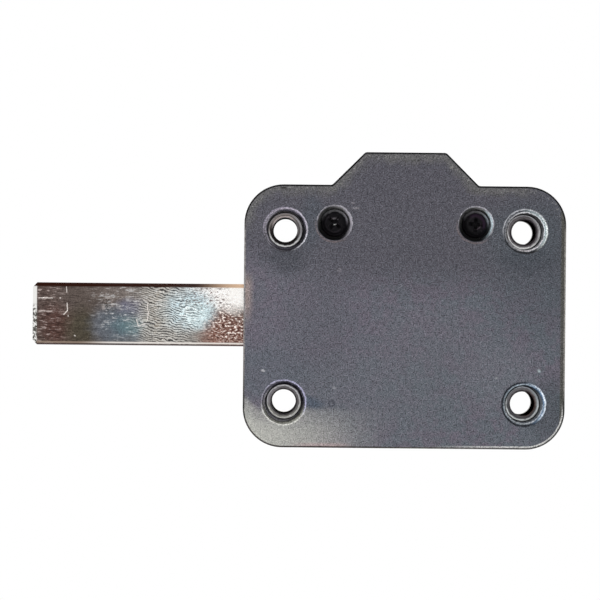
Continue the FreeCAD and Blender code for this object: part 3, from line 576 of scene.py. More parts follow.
def cover_paint(settings):
    """Grey metallic paint with its grain, patches and small marks, and painted light and shade: a darker
    upper part, sheens, edge lines, and highlights and shadows round the holes.
    """
    material, recipe, shader, place = new_material("cover_paint")
    x, y, z = recipe.parts(place)
    grain = recipe.group("Fine grain", "Value", place=place, size=settings.grain_size / MILLIMETRE)
    cloud = recipe.noise(place, 3.4, 4.0, 0.65)
    body = recipe.mix(recipe.fade(cloud, 0.4, 0.6), settings.paint, settings.cool)
    plain = body
    body = laid_over(recipe, body, recipe.fade(x, 8.0, -20.0), 0.55, settings.paint)

    def zone(centre, reach, softness=0.5, wander=4.0, lump=6.0):
        return recipe.group("Soft zone", "Mask", place=place, centre=(centre[0], 0, centre[1]),
                            reach=(reach[0], 1, reach[1]), softness=softness, wander=wander, lump=lump)

    # Painted shade: the face darkens upwards, later at its left side
    lift = recipe.math("MULTIPLY", recipe.fade(x, -18.0, -38.0), 6.0)
    upper_shade = recipe.fade(recipe.math("SUBTRACT", z, lift), 2.5, 15.0)
    body = laid_over(recipe, body, upper_shade, 0.95, settings.upper_shade)

    # Broad light and dark areas of the face; the two under the upper mounting holes are painted shade
    for centre, reach, strength, over in (
        ((36, 13), (14, 16), 0.6, (82, 87, 94)),
        ((-22, -2), (8, 18), 0.45, (92, 93, 101)),
        ((8, -5), (14, 8), 0.5, (107, 106, 115)),
        ((24, -15), (9, 8), 0.6, (110, 113, 121)),
        ((37.5, -24), (6, 8), 0.75, (78, 85, 91)),
        ((-6, -20), (22, 10), 0.5, (102, 107, 114)),
        ((-36, -14), (12, 6), 0.5, (90, 98, 106)),
        ((-24.2, 24), (2.6, 7), 0.7, (80, 85, 93)),
        # Painted shade under the two upper mounting holes
        ((-30.5, 15), (5.5, 3.6), 0.75, (75, 77, 84)),
        ((31.5, 15), (6, 3.6), 0.75, (73, 75, 83)),
        ((-24, -22), (3, 1.6), 0.7, (72, 84, 98)),
        ((31, 21), (10, 8), 0.4, (78, 86, 92)),
    ):
        body = laid_over(recipe, body, zone(centre, reach), strength, display(*over))

    gap = inside_gap(recipe, place)
    upper = recipe.fade(z, 20.0, 26.0)
    ragged = recipe.math("ADD", gap, recipe.math("MULTIPLY", recipe.noise(place, 3.0), 4.0))
    band = recipe.math("MULTIPLY", recipe.fade(ragged, 5.6, 3.0), upper)
    band = recipe.math("MULTIPLY", band, recipe.fade(x, 36.0, 28.0))
    paint_and_light = laid_over(recipe, body, band, 0.55, settings.olive)
    flaws = recipe.math("MULTIPLY", recipe.fade(gap, 1.9, 1.2), recipe.fade(gap, 0.5, 0.7))
    flaws = recipe.math("MULTIPLY", flaws, recipe.fade(recipe.noise(place, 0.55, 1.0), 0.56, 0.64))
    flaws = recipe.math("MULTIPLY", flaws, upper)
    paint_and_light = laid_over(recipe, paint_and_light, flaws, 0.55, display(150, 150, 148))

    # Painted reflection: a pale warm sheen in the lower left corner, whose soft border climbs at the
    # left edge, and a pale pink painted highlight along the bottom edge
    border = recipe.math("MULTIPLY", recipe.fade(x, -36.5, -41.0), 2.8)
    border = recipe.math("ADD", border, recipe.math("MULTIPLY", recipe.noise(place, 3.0), 1.8))
    below = recipe.math("SUBTRACT", border, recipe.math("ADD", z, 24.4))
    reach_x = recipe.math("ADD", x, recipe.math("MULTIPLY", recipe.noise(place, 4.0), 4.0))
    start = recipe.math("MULTIPLY", recipe.fade(below, -0.9, 1.4), 0.5)
    full = recipe.math("MULTIPLY", recipe.fade(below, 0.8, 6.5), 0.5)
    warm = recipe.math("ADD", start, full)
    warm = recipe.math("MULTIPLY", warm, recipe.fade(reach_x, 1.0, -38.0))
    paint_and_light = laid_over(recipe, paint_and_light, warm, 1.0, settings.warm)
    pink = recipe.math("MULTIPLY", recipe.fade(gap, 1.6, 0.7), zone((-21, -33), (6, 4)))
    paint_and_light = laid_over(recipe, paint_and_light, pink, 0.7, display(176, 156, 156))

    # Painted reflection: a tan glow at the left edge beside the bolt
    glow = recipe.math("MULTIPLY", recipe.fade(gap, 3.0, 0.6), recipe.fade(z, 12.0, 7.5))
    glow = recipe.math("MULTIPLY", glow, recipe.fade(z, -4.0, 4.5))
    glow = recipe.math("MULTIPLY", glow, recipe.fade(x, -20.0, -36.0))
    paint_and_light = laid_over(recipe, paint_and_light, glow, 0.9, display(157, 142, 138))

    # Olive band inside the right edge
    beside = recipe.fade(x, COVER_HIGH.x - 1.7, COVER_HIGH.x - 1.0)
    beside = recipe.math("MULTIPLY", beside, recipe.fade(gap, 1.6, 1.1))
    paint_and_light = laid_over(recipe, paint_and_light, beside, 0.75, display(78, 76, 66))

    # Small specks and dents in the paint
    for mark_x, mark_z, long_x, long_z, strength, over in (
        (-35.9, -14.0, 0.45, 0.3, 0.9, (182, 180, 184)),
        (-17.7, -18.2, 0.4, 0.3, 0.7, (166, 166, 172)),
        (34.4, -13.4, 0.4, 0.4, 0.75, (184, 198, 202)),
        (23.5, -15.3, 0.3, 0.3, 0.7, (164, 166, 170)),
        (11.7, 38.2, 0.5, 0.3, 0.6, (146, 146, 142)),
        (-31.1, 32.6, 0.8, 0.3, 0.8, (40, 40, 38)),
        (-12.6, 27.6, 0.9, 0.25, 0.7, (150, 146, 152)),
        (-13.4, 28.9, 0.5, 0.2, 0.6, (146, 142, 148)),
        (-16.7, 11.8, 0.5, 0.5, 0.5, (140, 136, 144)),
        (-27.6, -23.9, 1.2, 0.5, 0.5, (168, 160, 164)),
    ):
        spot = zone((mark_x, mark_z), (long_x, long_z), 0.6, 0.4, 0.5)
        paint_and_light = laid_over(recipe, paint_and_light, spot, strength, display(*over))
    dent = [(0.7, 0.4, 0, -2.0, 0.6, (46, 50, 62))]
    paint_and_light = with_arcs(recipe, paint_and_light, place, (-18.4, 0, -22.2), dent)

    # Painted highlights and shadows on the lips of the mounting holes, and in the recesses of the two
    # screws, whose insides are painted dark as shade
    wavy = unsteady(recipe, place, 1.1, 0.5)
    for (side_x, side_z), arcs in LIP_HIGHLIGHTS_AND_SHADOWS.items():
        centre = (side_x * MOUNT_X, 0, side_z * MOUNT_Z)
        lip = recipe.group("Circle line", "Inside", place=place, centre=centre, radius=LIP_RADIUS)
        paint_and_light = laid_over(recipe, paint_and_light, lip, 0.8, display(*LIP_PAINT_AND_LIGHT[side_x, side_z]))
        paint_and_light = with_arcs(recipe, paint_and_light, wavy, centre, arcs)
    for side_x, shine in ((-1, (196, 192, 204)), (1, (222, 240, 248))):
        centre = (side_x * SCREW_X, 0, SCREW_Z)
        recess = recipe.group("Circle line", "Inside", place=place, centre=centre,
                              radius=RECESS_RADIUS)
        paint_and_light = laid_over(recipe, paint_and_light, recess, 0.95, display(50, 50, 53))
        paint_and_light = with_arcs(recipe, paint_and_light, wavy, centre, [
            (4.0, 0.8, 260, 0.0, 0.97, (9, 9, 10)),
            (4.0, 0.7, 85, -0.2, 0.95, (124, 124, 124)),
            (4.45, 0.26, 65, -0.4, 0.9, (196, 194, 202)),
            (4.15, 0.45, 0, 0.72, 0.97, shine),
            (4.9, 0.35, 240, 0.5, 0.5, (132, 116, 114)),
        ])

    # Painted light and shade on the broken edge: black above, painted highlights at the sides and grey
    # below, and a painted highlight line along the lower right edge
    rolled = recipe.fade(y, FACE_Y + 1.1, FACE_Y + 0.6)
    rolled = recipe.math("MULTIPLY", rolled, recipe.fade(gap, EDGE_END, EDGE_START))
    lower = recipe.math("SUBTRACT", 1.0, upper)
    left = recipe.math("MULTIPLY", recipe.fade(x, COVER_LOW.x + 3.0, COVER_LOW.x + 0.6), lower)
    right = recipe.math("MULTIPLY", recipe.fade(x, COVER_HIGH.x - 3.0, COVER_HIGH.x - 0.6), lower)
    low_edge = recipe.mix(recipe.fade(x, -14.0, 8.0), display(46, 42, 40), display(92, 90, 88))
    edge = recipe.mix(recipe.fade(z, -22.0, -28.0), settings.line, low_edge)
    left = recipe.math("MULTIPLY", left, recipe.fade(z, -26.0, -6.0))
    right = recipe.math("MULTIPLY", right, recipe.fade(z, -24.0, -16.0))
    edge = laid_over(recipe, edge, left, 0.8, display(142, 138, 138))
    edge = laid_over(recipe, edge, right, 0.9, display(190, 187, 180))
    paint_and_light = laid_over(recipe, paint_and_light, rolled, 0.97, edge)
    thread = recipe.math("MULTIPLY", recipe.fade(gap, 0.9, 0.7), recipe.fade(gap, 0.36, 0.5))
    low_right = recipe.math("MULTIPLY", recipe.fade(z, -21.0, -26.0), recipe.fade(x, 4.0, 26.0))
    thread = recipe.math("MULTIPLY", thread, low_right)
    paint_and_light = laid_over(recipe, paint_and_light, thread, 0.9, display(212, 212, 210))

    flakes = recipe.fade(recipe.noise(place, 0.3, 1.0), 0.66, 0.74)
    paint_and_light = laid_over(recipe, paint_and_light, flakes, 0.3, display(170, 168, 178))
    walls = recipe.fade(y, FACE_Y + 0.6, FACE_Y + 1.0)
    walls = recipe.math("MULTIPLY", recipe.fade(gap, 0.06, 0.02), walls)
    walls = recipe.math("MAXIMUM", walls, recipe.fade(y, FACE_Y + 9.0, FACE_Y + 10.0))
    paint_and_light = recipe.mix(walls, paint_and_light, plain)
    half = settings.grain_contrast / 2
    grained = recipe.vector("SCALE", paint_and_light, recipe.between(grain, 1 - half, 1 + half))
    # Less grain under the painted reflection at the lower left corner
    paint_and_light = recipe.mix(recipe.math("MULTIPLY", warm, 0.4), grained, paint_and_light)
    recipe.feed(shader.inputs["Base Color"], paint_and_light)
    rough = recipe.between(grain, settings.roughness - 0.1, settings.roughness + 0.1)
    rough = recipe.math("ADD", rough, recipe.math("MULTIPLY", rolled, 0.4))
    recipe.feed(shader.inputs["Roughness"], rough)
    recipe.feed(shader.inputs["Normal"], bump(recipe, grain, settings.grain_depth))
    shader.inputs["Specular IOR Level"].default_value = 0.15
    return material


def bolt_plating(settings):
    """Bright nickel plate whose front holds a painted reflection of a dim room, with ripples, wear and
    scratches.
    """
    material, recipe, shader, place = new_material("bolt_nickel")
    x, y, z = recipe.parts(place)

    def zone(centre, reach, softness=0.5, wander=3.0, lump=2.4):
        return recipe.group("Soft zone", "Mask", place=place, centre=(centre[0], 0, centre[1]),
                            reach=(reach[0], 1, reach[1]), softness=softness, wander=wander, lump=lump)

    def many(first, *rest):
        for other in rest:
            first = recipe.math("MULTIPLY", first, other)
        return first

    drift = recipe.math("MULTIPLY", recipe.noise(place, 3.6, 3.0), 3.2)
    drift = recipe.math("ADD", drift, recipe.math("MULTIPLY", x, 0.2))
    pitch = settings.ripple_pitch / MILLIMETRE
    wave = recipe.math("SINE", recipe.math("MULTIPLY", recipe.math("ADD", z, drift), math.tau / pitch))
    ripple = recipe.fade(wave, -0.9, 0.5)
    streak = recipe.group("Brushed lines", "Value", place=place, stretch=(0.8, 1.0, 3.8))
    speckle = recipe.noise(place, 0.34, 2.0, 0.6)
    lumps = recipe.noise(place, 0.8, 2.0, 0.6)

    # Painted reflection of the room that the plate mirrors, from the brown end to the white glare beside
    # the case
    tone = recipe.mix(recipe.fade(x, -82.0, -62.0), display(92, 80, 74), settings.plate)
    for centre, reach, softness, strength, over in (
        ((-91.5, 2), (5, 7), 0.6, 0.7, (97, 83, 79)),
        ((-89.5, -3), (4, 5), 0.6, 0.75, (86, 60, 54)),
        ((-83, 4), (6, 4), 0.6, 0.5, (96, 88, 84)),
        ((-82.5, -4), (4.5, 5), 0.6, 0.8, (74, 70, 58)),
        ((-76, -3), (4.5, 5), 0.45, 0.85, (99, 103, 111)),
        ((-70, 5.5), (8, 3), 0.6, 0.75, (122, 113, 109)),
        ((-70.5, -3), (6, 5), 0.5, 0.8, (96, 108, 117)),
        ((-69.8, -3), (4, 2), 0.6, 0.7, (104, 132, 138)),
        ((-69, 1.8), (4, 2), 0.6, 0.65, (102, 102, 126)),
        ((-63, 0), (4.5, 8), 0.6, 0.8, (148, 138, 125)),
        ((-58, -5.6), (7, 3), 0.6, 0.7, (140, 134, 128)),
        ((-45.6, -4.8), (6.4, 5), 0.45, 0.95, (136, 102, 91)),
        ((-46, 5.4), (10, 4.2), 0.45, 0.97, (250, 246, 242)),
        ((-55.4, 1.5), (6, 5), 0.5, 0.95, (190, 216, 226)),
        ((-53.4, 0.3), (3.4, 3.2), 0.6, 0.9, (226, 248, 252)),
    ):
        tone = laid_over(recipe, tone, zone(centre, reach, softness), strength, display(*over))

    # Ripples are strongest in the middle, the flecks beside the case and the rubs at the end; the
    # ripples' light and dark lines are their painted reflection, and the glints are painted highlights
    rippled = zone((-60.6, 0.5), (8.4, 12), 0.5, 4.0)
    broken = recipe.fade(lumps, 0.34, 0.52)
    lines = many(recipe.math("SUBTRACT", 1.0, ripple), rippled, broken)
    tone = laid_over(recipe, tone, lines, 0.92, display(52, 52, 56))
    tone = laid_over(recipe, tone, many(ripple, rippled), 0.42, display(240, 240, 234))
    chips = recipe.noise(recipe.vector("MULTIPLY", place, (0.62, 1.0, 1.15)), 0.5, 3.0, 0.65)
    shades = many(recipe.fade(chips, 0.5, 0.4), zone((-45.0, -4.0), (6.2, 5)))
    tone = laid_over(recipe, tone, shades, 0.85, display(64, 32, 26))
    flecks = many(recipe.fade(chips, 0.53, 0.6), zone((-44.4, -2.6), (6.0, 4.6)))
    tone = laid_over(recipe, tone, flecks, 0.95, display(255, 240, 232))
    nicks = many(recipe.fade(chips, 0.48, 0.4), zone((-50.2, 4.2), (6.4, 3.8)))
    tone = laid_over(recipe, tone, nicks, 0.92, display(104, 84, 82))
    glints = many(recipe.fade(streak, 0.54, 0.62), zone((-70, 2), (9, 9)))
    tone = laid_over(recipe, tone, glints, 0.6, display(192, 192, 192))
    rubs = many(recipe.fade(streak, 0.53, 0.62), recipe.fade(x, -84.0, -93.0))
    tone = laid_over(recipe, tone, rubs, 0.5, display(186, 172, 168))
    dark_rubs = many(recipe.fade(streak, 0.46, 0.4), recipe.fade(x, -76.0, -92.0))
    tone = laid_over(recipe, tone, dark_rubs, 0.55, display(50, 38, 36))
    tone = recipe.vector("SCALE", tone, recipe.between(streak, 0.2, 1.8))
    tone = recipe.vector("SCALE", tone, recipe.between(speckle, 0.1, 1.9))
    # Painted highlight: a white glare at the bolt's end beside the case
    tone = laid_over(recipe, tone, zone((-41.2, 5.3), (4.6, 3.0)), 0.8, display(255, 252, 248))

    # Scratches, drawn thin and shaky
    shaky = unsteady(recipe, place, 0.5, 0.3)
    for start_x, start_z, end_x, end_z, width, strength in (
        (-86.8, 6.9, -86.7, 5.5, 0.2, 0.8),
        (-86.6, 2.7, -86.5, 0.8, 0.22, 0.95),
        (-86.5, 0.8, -87.4, -0.2, 0.2, 0.9),
        (-93.9, 4.0, -90.4, 4.0, 0.2, 0.9),
        (-93.6, 0.6, -90.6, 0.6, 0.15, 0.5),
        (-88.4, 4.0, -88.3, 4.0, 0.3, 0.85),
        (-86.3, -0.5, -86.3, -0.7, 0.26, 0.6),
        (-84.6, -5.6, -84.5, -5.7, 0.3, 0.7),
        (-65.8, 2.8, -65.9, 1.2, 0.22, 0.9),
        (-65.6, 0.8, -65.9, -1.5, 0.2, 0.85),
        (-68.7, -1.4, -68.2, -3.0, 0.2, 0.85),
        (-68.2, -3.0, -66.6, -2.5, 0.2, 0.7),
        (-67.0, 3.7, -61.0, 3.6, 0.14, 0.6),
    ):
        scratch = recipe.group("Scratch stroke", "Mask", place=shaky, start=(start_x, 0, start_z),
                               end=(end_x, 0, end_z), width=width)
        tone = laid_over(recipe, tone, scratch, strength, display(240, 232, 226))
    rubbed = many(recipe.fade(lumps, 0.5, 0.58), zone((-76.1, 2.4), (1.3, 2.0)))
    tone = laid_over(recipe, tone, rubbed, 0.6, display(188, 180, 176))
    worn = many(recipe.fade(lumps, 0.47, 0.4), zone((-76.1, 2.4), (1.5, 2.2)))
    tone = laid_over(recipe, tone, worn, 0.6, display(50, 46, 44))

    # Painted reflections on the broken edges: dark brown above, a light and a dark line below, and light
    # and dark on the end's edge
    top = recipe.fade(z, BOLT_HIGH.z - 1.15, BOLT_HIGH.z - 0.8)
    brown = recipe.mix(recipe.fade(x, -54.0, -41.0), display(44, 18, 9), display(214, 180, 150))
    tone = laid_over(recipe, tone, top, 0.97, brown)
    low_line = many(recipe.fade(z, BOLT_LOW.z + 1.0, BOLT_LOW.z + 0.75),
                    recipe.fade(z, BOLT_LOW.z + 0.4, BOLT_LOW.z + 0.55))
    low_tone = recipe.mix(recipe.fade(x, -84.0, -74.0), display(150, 132, 118), display(240, 234, 228))
    tone = laid_over(recipe, tone, low_line, 0.85, low_tone)
    lowest = recipe.fade(z, BOLT_LOW.z + 0.45, BOLT_LOW.z + 0.3)
    tone = laid_over(recipe, tone, lowest, 0.9, display(84, 70, 70))
    end_strip = many(recipe.fade(x, BOLT_LOW.x + 1.25, BOLT_LOW.x + 1.0),
                     recipe.math("SUBTRACT", 1.0, top))
    ragged = recipe.fade(recipe.noise(place, 0.7, 2.0, 0.7), 0.56, 0.46)
    ragged = recipe.math("MAXIMUM", ragged, recipe.fade(z, 1.0, 3.0))
    end_tone = recipe.mix(ragged, display(78, 76, 70), display(240, 239, 236))
    tone = laid_over(recipe, tone, end_strip, 0.95, end_tone)

    # Only the front face and its broken edges carry the painted reflections and the wear
    front = recipe.fade(y, BOLT_LOW.y + 1.7, BOLT_LOW.y + 1.3)
    clean = recipe.vector("SCALE", settings.clean, recipe.between(streak, 0.5, 1.4))
    clean = recipe.vector("SCALE", clean, recipe.between(recipe.noise(place, 6.0, 3.0), 0.8, 1.15))
    recipe.feed(shader.inputs["Base Color"], recipe.mix(front, clean, tone))
    rough = recipe.between(speckle, settings.roughness - 0.05, settings.roughness + 0.12)
    recipe.feed(shader.inputs["Roughness"], rough)
    shader.inputs["Metallic"].default_value = 1.0
    recipe.feed(shader.inputs["Normal"], bump(recipe, ripple, settings.ripple_depth))
    return material


def sleeve_metal(settings, number, sides):
    """Turned steel of one sleeve, with its bore painted dark as shade and painted highlights and shadows
    on its face.
    """
    centre = (sides[0] * MOUNT_X, 0, sides[1] * MOUNT_Z)
    material, recipe, shader, place = new_material("sleeve_zinc_%d" % number)
    y = recipe.parts(place)["Y"]
    rings = recipe.group("Turned rings", "Value", place=place, centre=centre, pitch=0.3)
    tone = recipe.vector("SCALE", settings.metal, recipe.between(rings, 0.6, 1.3))
    face = recipe.fade(y, SLEEVES_LOW.y + 1.2, SLEEVES_LOW.y + 0.5)
    arcs = with_arcs(recipe, tone, unsteady(recipe, place, 0.9, 0.45), centre, SLEEVE_HIGHLIGHTS_AND_SHADOWS[sides])
    tone = laid_over(recipe, tone, face, 1.0, arcs)
    # The bore is painted dark as shade
    bore = recipe.group("Circle line", "Inside", place=place, centre=centre, radius=BORE_RADIUS + 0.04)
    inner = recipe.math("MULTIPLY", bore, recipe.fade(y, SLEEVES_HIGH.y, SLEEVES_HIGH.y - 0.6))
    tone = laid_over(recipe, tone, inner, 0.98, settings.bore)
    recipe.feed(shader.inputs["Base Color"], tone)
    rough = recipe.math("ADD", recipe.between(rings, 0.24, 0.5), inner, clamp=True)
    recipe.feed(shader.inputs["Roughness"], rough)
    recipe.feed(shader.inputs["Metallic"], recipe.math("SUBTRACT", 1.0, inner))
    recipe.feed(shader.inputs["Normal"], bump(recipe, rings, 0.012 * MILLIMETRE))
    shader.inputs["Specular IOR Level"].default_value = 0.0
    return material


def turned_metal(name, base, centre, pitch=0.3, roughness=0.26, depth=0.006):
    """Metal turned on a lathe, with its rings and a faint tarnish."""
    material, recipe, shader, place = new_material(name)
    rings = recipe.group("Turned rings", "Value", place=place, centre=centre, pitch=pitch)
    tarnish = recipe.noise(place, 2.6, 3.0)
    shaded = recipe.vector("SCALE", base, recipe.between(tarnish, 0.78, 1.12))
    shaded = recipe.vector("SCALE", shaded, recipe.between(rings, 0.86, 1.08))
    recipe.feed(shader.inputs["Base Color"], shaded)
    recipe.feed(shader.inputs["Roughness"], recipe.between(rings, roughness - 0.06, roughness + 0.12))
    shader.inputs["Metallic"].default_value = 1.0
    recipe.feed(shader.inputs["Normal"], bump(recipe, rings, depth * MILLIMETRE))
    return material


def sheet_zinc(settings):
    """Zinc plated sheet with its rolling lines, a cloudy passivation and dull spots."""
    material, recipe, shader, place = new_material("plate_zinc")
    lines = recipe.group("Brushed lines", "Value", place=place, stretch=(0.5, 4.0, 6.0))
    cloud = recipe.noise(place, 9.0, 3.0)
    spangle = recipe.noise(place, 1.3, 2.0)
    tone = recipe.mix(recipe.fade(cloud, 0.46, 0.7), settings.zinc, display(158, 155, 142))
    tone = recipe.mix(recipe.fade(cloud, 0.42, 0.26), tone, display(138, 145, 156))
    tone = recipe.vector("SCALE", tone, recipe.between(lines, 0.55, 1.4))
    tone = recipe.vector("SCALE", tone, recipe.between(spangle, 0.7, 1.25))
    stains = recipe.fade(recipe.noise(place, 2.2, 4.0, 0.7), 0.62, 0.74)
    tone = laid_over(recipe, tone, stains, 0.4, display(104, 102, 98))
    recipe.feed(shader.inputs["Base Color"], tone)
    recipe.feed(shader.inputs["Roughness"], recipe.between(spangle, 0.26, 0.5))
    shader.inputs["Metallic"].default_value = 1.0
    recipe.feed(shader.inputs["Normal"], bump(recipe, lines, 0.008 * MILLIMETRE))
    return material


def ground_metal(name, base, stretch, roughness=0.3, tint=None):
    """Ground or drawn metal with fine lines, and a second tone in its clouds."""
    material, recipe, shader, place = new_material(name)
    lines = recipe.group("Brushed lines", "Value", place=place, stretch=stretch)
    grain = recipe.group("Fine grain", "Value", place=place, size=0.3)
    cloud = recipe.noise(place, 4.0, 2.0)
    tone = recipe.mix(recipe.fade(cloud, 0.45, 0.7), base, tint or base)
    tone = recipe.vector("SCALE", tone, recipe.between(lines, 0.8, 1.14))
    recipe.feed(shader.inputs["Base Color"], tone)
    recipe.feed(shader.inputs["Roughness"], recipe.between(grain, roughness - 0.08, roughness + 0.14))
    shader.inputs["Metallic"].default_value = 1.0
    recipe.feed(shader.inputs["Normal"], bump(recipe, lines, 0.006 * MILLIMETRE))
    return material


def black_oxide(settings):
    """Blackened steel with a dry grain and worn flecks, and painted highlights on each head's rim and
    round the cross, with a painted glint on the left head.
    """
    material, recipe, shader, place = new_material("screw_black")
    grain = recipe.group("Fine grain", "Value", place=place, size=0.22)
    wear = recipe.fade(recipe.noise(place, 0.5, 3.0), 0.58, 0.7)
    tone = recipe.mix(recipe.math("MULTIPLY", wear, 0.35), settings.finish, display(62, 58, 60))
    wavy = unsteady(recipe, place, 0.8, 0.5)
    # Painted highlights on the two heads: a lit arc at the top of each rim, fainter lit arcs round the
    # cross, and a white glint on the left head
    tone = with_arcs(recipe, tone, wavy, (-SCREW_X, 0, SCREW_Z), [
        (3.35, 0.6, 80, 0.3, 0.9, (196, 196, 198)),
        (3.1, 0.3, 200, -0.2, 0.6, (66, 62, 68)),
        (2.3, 0.3, 215, 0.0, 0.5, (52, 48, 54)),
        (0.4, 0.2, 285, 0.75, 0.97, (255, 255, 255)),
        (1.2, 0.3, 95, 0.7, 0.7, (112, 108, 112)),
    ])
    tone = with_arcs(recipe, tone, wavy, (SCREW_X, 0, SCREW_Z), [
        (3.35, 0.6, 75, 0.3, 0.9, (190, 188, 192)),
        (3.1, 0.3, 200, -0.2, 0.5, (60, 56, 62)),
        (2.2, 0.7, 50, 0.2, 0.6, (54, 36, 56)),
        (1.9, 0.6, 150, 0.1, 0.4, (42, 41, 42)),
        (1.3, 0.3, 310, 0.6, 0.6, (86, 76, 84)),
    ])
    tone = recipe.vector("SCALE", tone, recipe.between(grain, 0.3, 1.7))
    recipe.feed(shader.inputs["Base Color"], tone)
    recipe.feed(shader.inputs["Roughness"], recipe.between(grain, 0.45, 0.7))
    recipe.feed(shader.inputs["Normal"], bump(recipe, grain, 0.02 * MILLIMETRE))
    shader.inputs["Specular IOR Level"].default_value = 0.1
    return material


def dress(material, *names):
    """Give nodes of the frame a material."""
    for name in names:
        slots = NODES[name].material_slots
        if not slots:
            NODES[name].data.materials.append(material)
        for slot in slots:
            slot.material = material


def finished_piece(shape, name, material, body, replaced=()):
    """A piece from a bmesh, merged, facing outwards and riding on its body."""
    bmesh.ops.remove_doubles(shape, verts=shape.verts, dist=1e-7)
    bmesh.ops.recalc_face_normals(shape, faces=shape.faces)
    mesh = bpy.data.meshes.new(name)
    shape.to_mesh(mesh)
    shape.free()
    mesh.materials.append(material)
    piece = bpy.data.objects.new(name, mesh)
    bpy.context.scene.collection.objects.link(piece)
    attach(piece, body)
    if replaced:
        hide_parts(*replaced)
    return piece


def turned(shape, outline, steps=64):
    """Spin an outline of (radius, place along Y) in millimetres about Y at the origin."""
    points = [shape.verts.new((radius, along, 0)) for radius, along in outline]
    edges = [shape.edges.new(pair) for pair in zip(points, points[1:])]
    bmesh.ops.spin(shape, geom=points + edges, cent=(0, 0, 0), axis=ALONG_Y, angle=math.tau,
                   steps=steps, use_merge=True, use_duplicate=False)
    bmesh.ops.remove_doubles(shape, verts=shape.verts, dist=1e-5)


def moved_copy(target, source, offset, turn=0.0):
    """Add a turned and moved copy of one bmesh, scaled to metres, to another."""
    mesh = bpy.data.meshes.new("copy")
    source.to_mesh(mesh)
    place = Matrix.Translation(Vector(offset) * MILLIMETRE)
    place = place @ Matrix.Rotation(turn, 4, ALONG_Y) @ Matrix.Scale(MILLIMETRE, 4)
    mesh.transform(place)
    target.from_mesh(mesh)
    bpy.data.meshes.remove(mesh)


def smooth_sides(piece, angle=math.radians(32)):
    """Smooth shading with hard edges kept sharp."""
    shape = bmesh.new()
    shape.from_mesh(piece.data)
    for face in shape.faces:
        face.smooth = True
    for edge in shape.edges:
        edge.smooth = edge.is_manifold and edge.calc_face_angle(0.0) < angle
    shape.to_mesh(piece.data)
    shape.free()


class DEADBOLT_OT_cover(bpy.types.Operator):
    """Paint the case's cover"""
    bl_idname = "deadbolt.cover"
    bl_label = "Cover"

    def execute(self, context):
        dress(cover_paint(context.scene.deadbolt_cover), "front_cover")
        return {"FINISHED"}


class DEADBOLT_OT_bolt(bpy.types.Operator):
    """Plate the bolt"""
    bl_idname = "deadbolt.bolt"
    bl_label = "Bolt"

    def execute(self, context):
        dress(bolt_plating(context.scene.deadbolt_bolt), "bolt")
        return {"FINISHED"}


class DEADBOLT_OT_sleeves(bpy.types.Operator):
    """Turn the four sleeves of the mounting holes"""
    bl_idname = "deadbolt.sleeves"
    bl_label = "Sleeves"

    def execute(self, context):
        settings = context.scene.deadbolt_sleeves
        low = SLEEVES_LOW
        high = SLEEVES_HIGH
        outer = SLEEVE_RADIUS
        inner = BORE_RADIUS
        chamfer = settings.chamfer / MILLIMETRE
        fine = chamfer * 0.45
        sleeve = bmesh.new()
        turned(sleeve, [
            (inner + fine, low.y), (outer - chamfer, low.y), (outer, low.y + chamfer),
            (outer, high.y - chamfer), (outer - chamfer, high.y), (inner + fine, high.y),
            (inner, high.y - fine), (inner, low.y + fine), (inner + fine, low.y),
        ])
        for number, sides in enumerate(SLEEVE_HIGHLIGHTS_AND_SHADOWS, 1):
            shape = bmesh.new()
            moved_copy(shape, sleeve, (sides[0] * MOUNT_X, 0, sides[1] * MOUNT_Z))
            metal = sleeve_metal(settings, number, sides)
            piece = finished_piece(shape, "sleeve_%d" % number, metal, "case",
                                   ["spacer_sleeves"] if number == 1 else ())
            smooth_sides(piece)
        sleeve.free()
        return {"FINISHED"}


class DEADBOLT_OT_cover_screws(bpy.types.Operator):
    """Make the two black screws of the cover"""
    bl_idname = "deadbolt.cover_screws"
    bl_label = "Cover screws"

    def execute(self, context):
        settings = context.scene.deadbolt_screws
        head = SCREW_HEAD_RADIUS
        shank = SCREW_SHANK_RADIUS
        top_y = SCREWS_LOW.y
        seat_y = top_y + SCREW_HEAD_HEIGHT
        end_y = SCREWS_HIGH.y
        pitch = settings.thread_pitch / MILLIMETRE
        outline = [
            (0, top_y), (head * 0.45, top_y + 0.07), (head * 0.72, top_y + 0.28),
            (head * 0.9, top_y + 0.68), (head * 0.98, top_y + 1.2), (head, top_y + 1.6),
            (head, seat_y - 0.1), (head - 0.1, seat_y), (shank * 0.86, seat_y),
        ]
        along = seat_y + pitch
        while along + pitch < end_y - 0.5:
            outline += [(shank * 0.84, along - pitch / 2), (shank, along)]
            along += pitch
        outline += [(shank * 0.84, end_y - 0.5), (shank * 0.55, end_y), (0, end_y)]
        screw = bmesh.new()
        turned(screw, outline, 48)
        finish = black_oxide(settings)
        for number, sign_x, turn in ((1, -1, settings.left_turn), (2, 1, settings.right_turn)):
            centre = Vector((sign_x * SCREW_X, 0, SCREW_Z))
            shape = bmesh.new()
            moved_copy(shape, screw, centre)
            piece = finished_piece(shape, "cover_screw_%d" % number, finish, "case",
                                   ["cover_screws"] if number == 1 else ())
            cut_cross(piece, centre + ALONG_Y * top_y, turn, settings)
            smooth_sides(piece)
        screw.free()
        return {"FINISHED"}


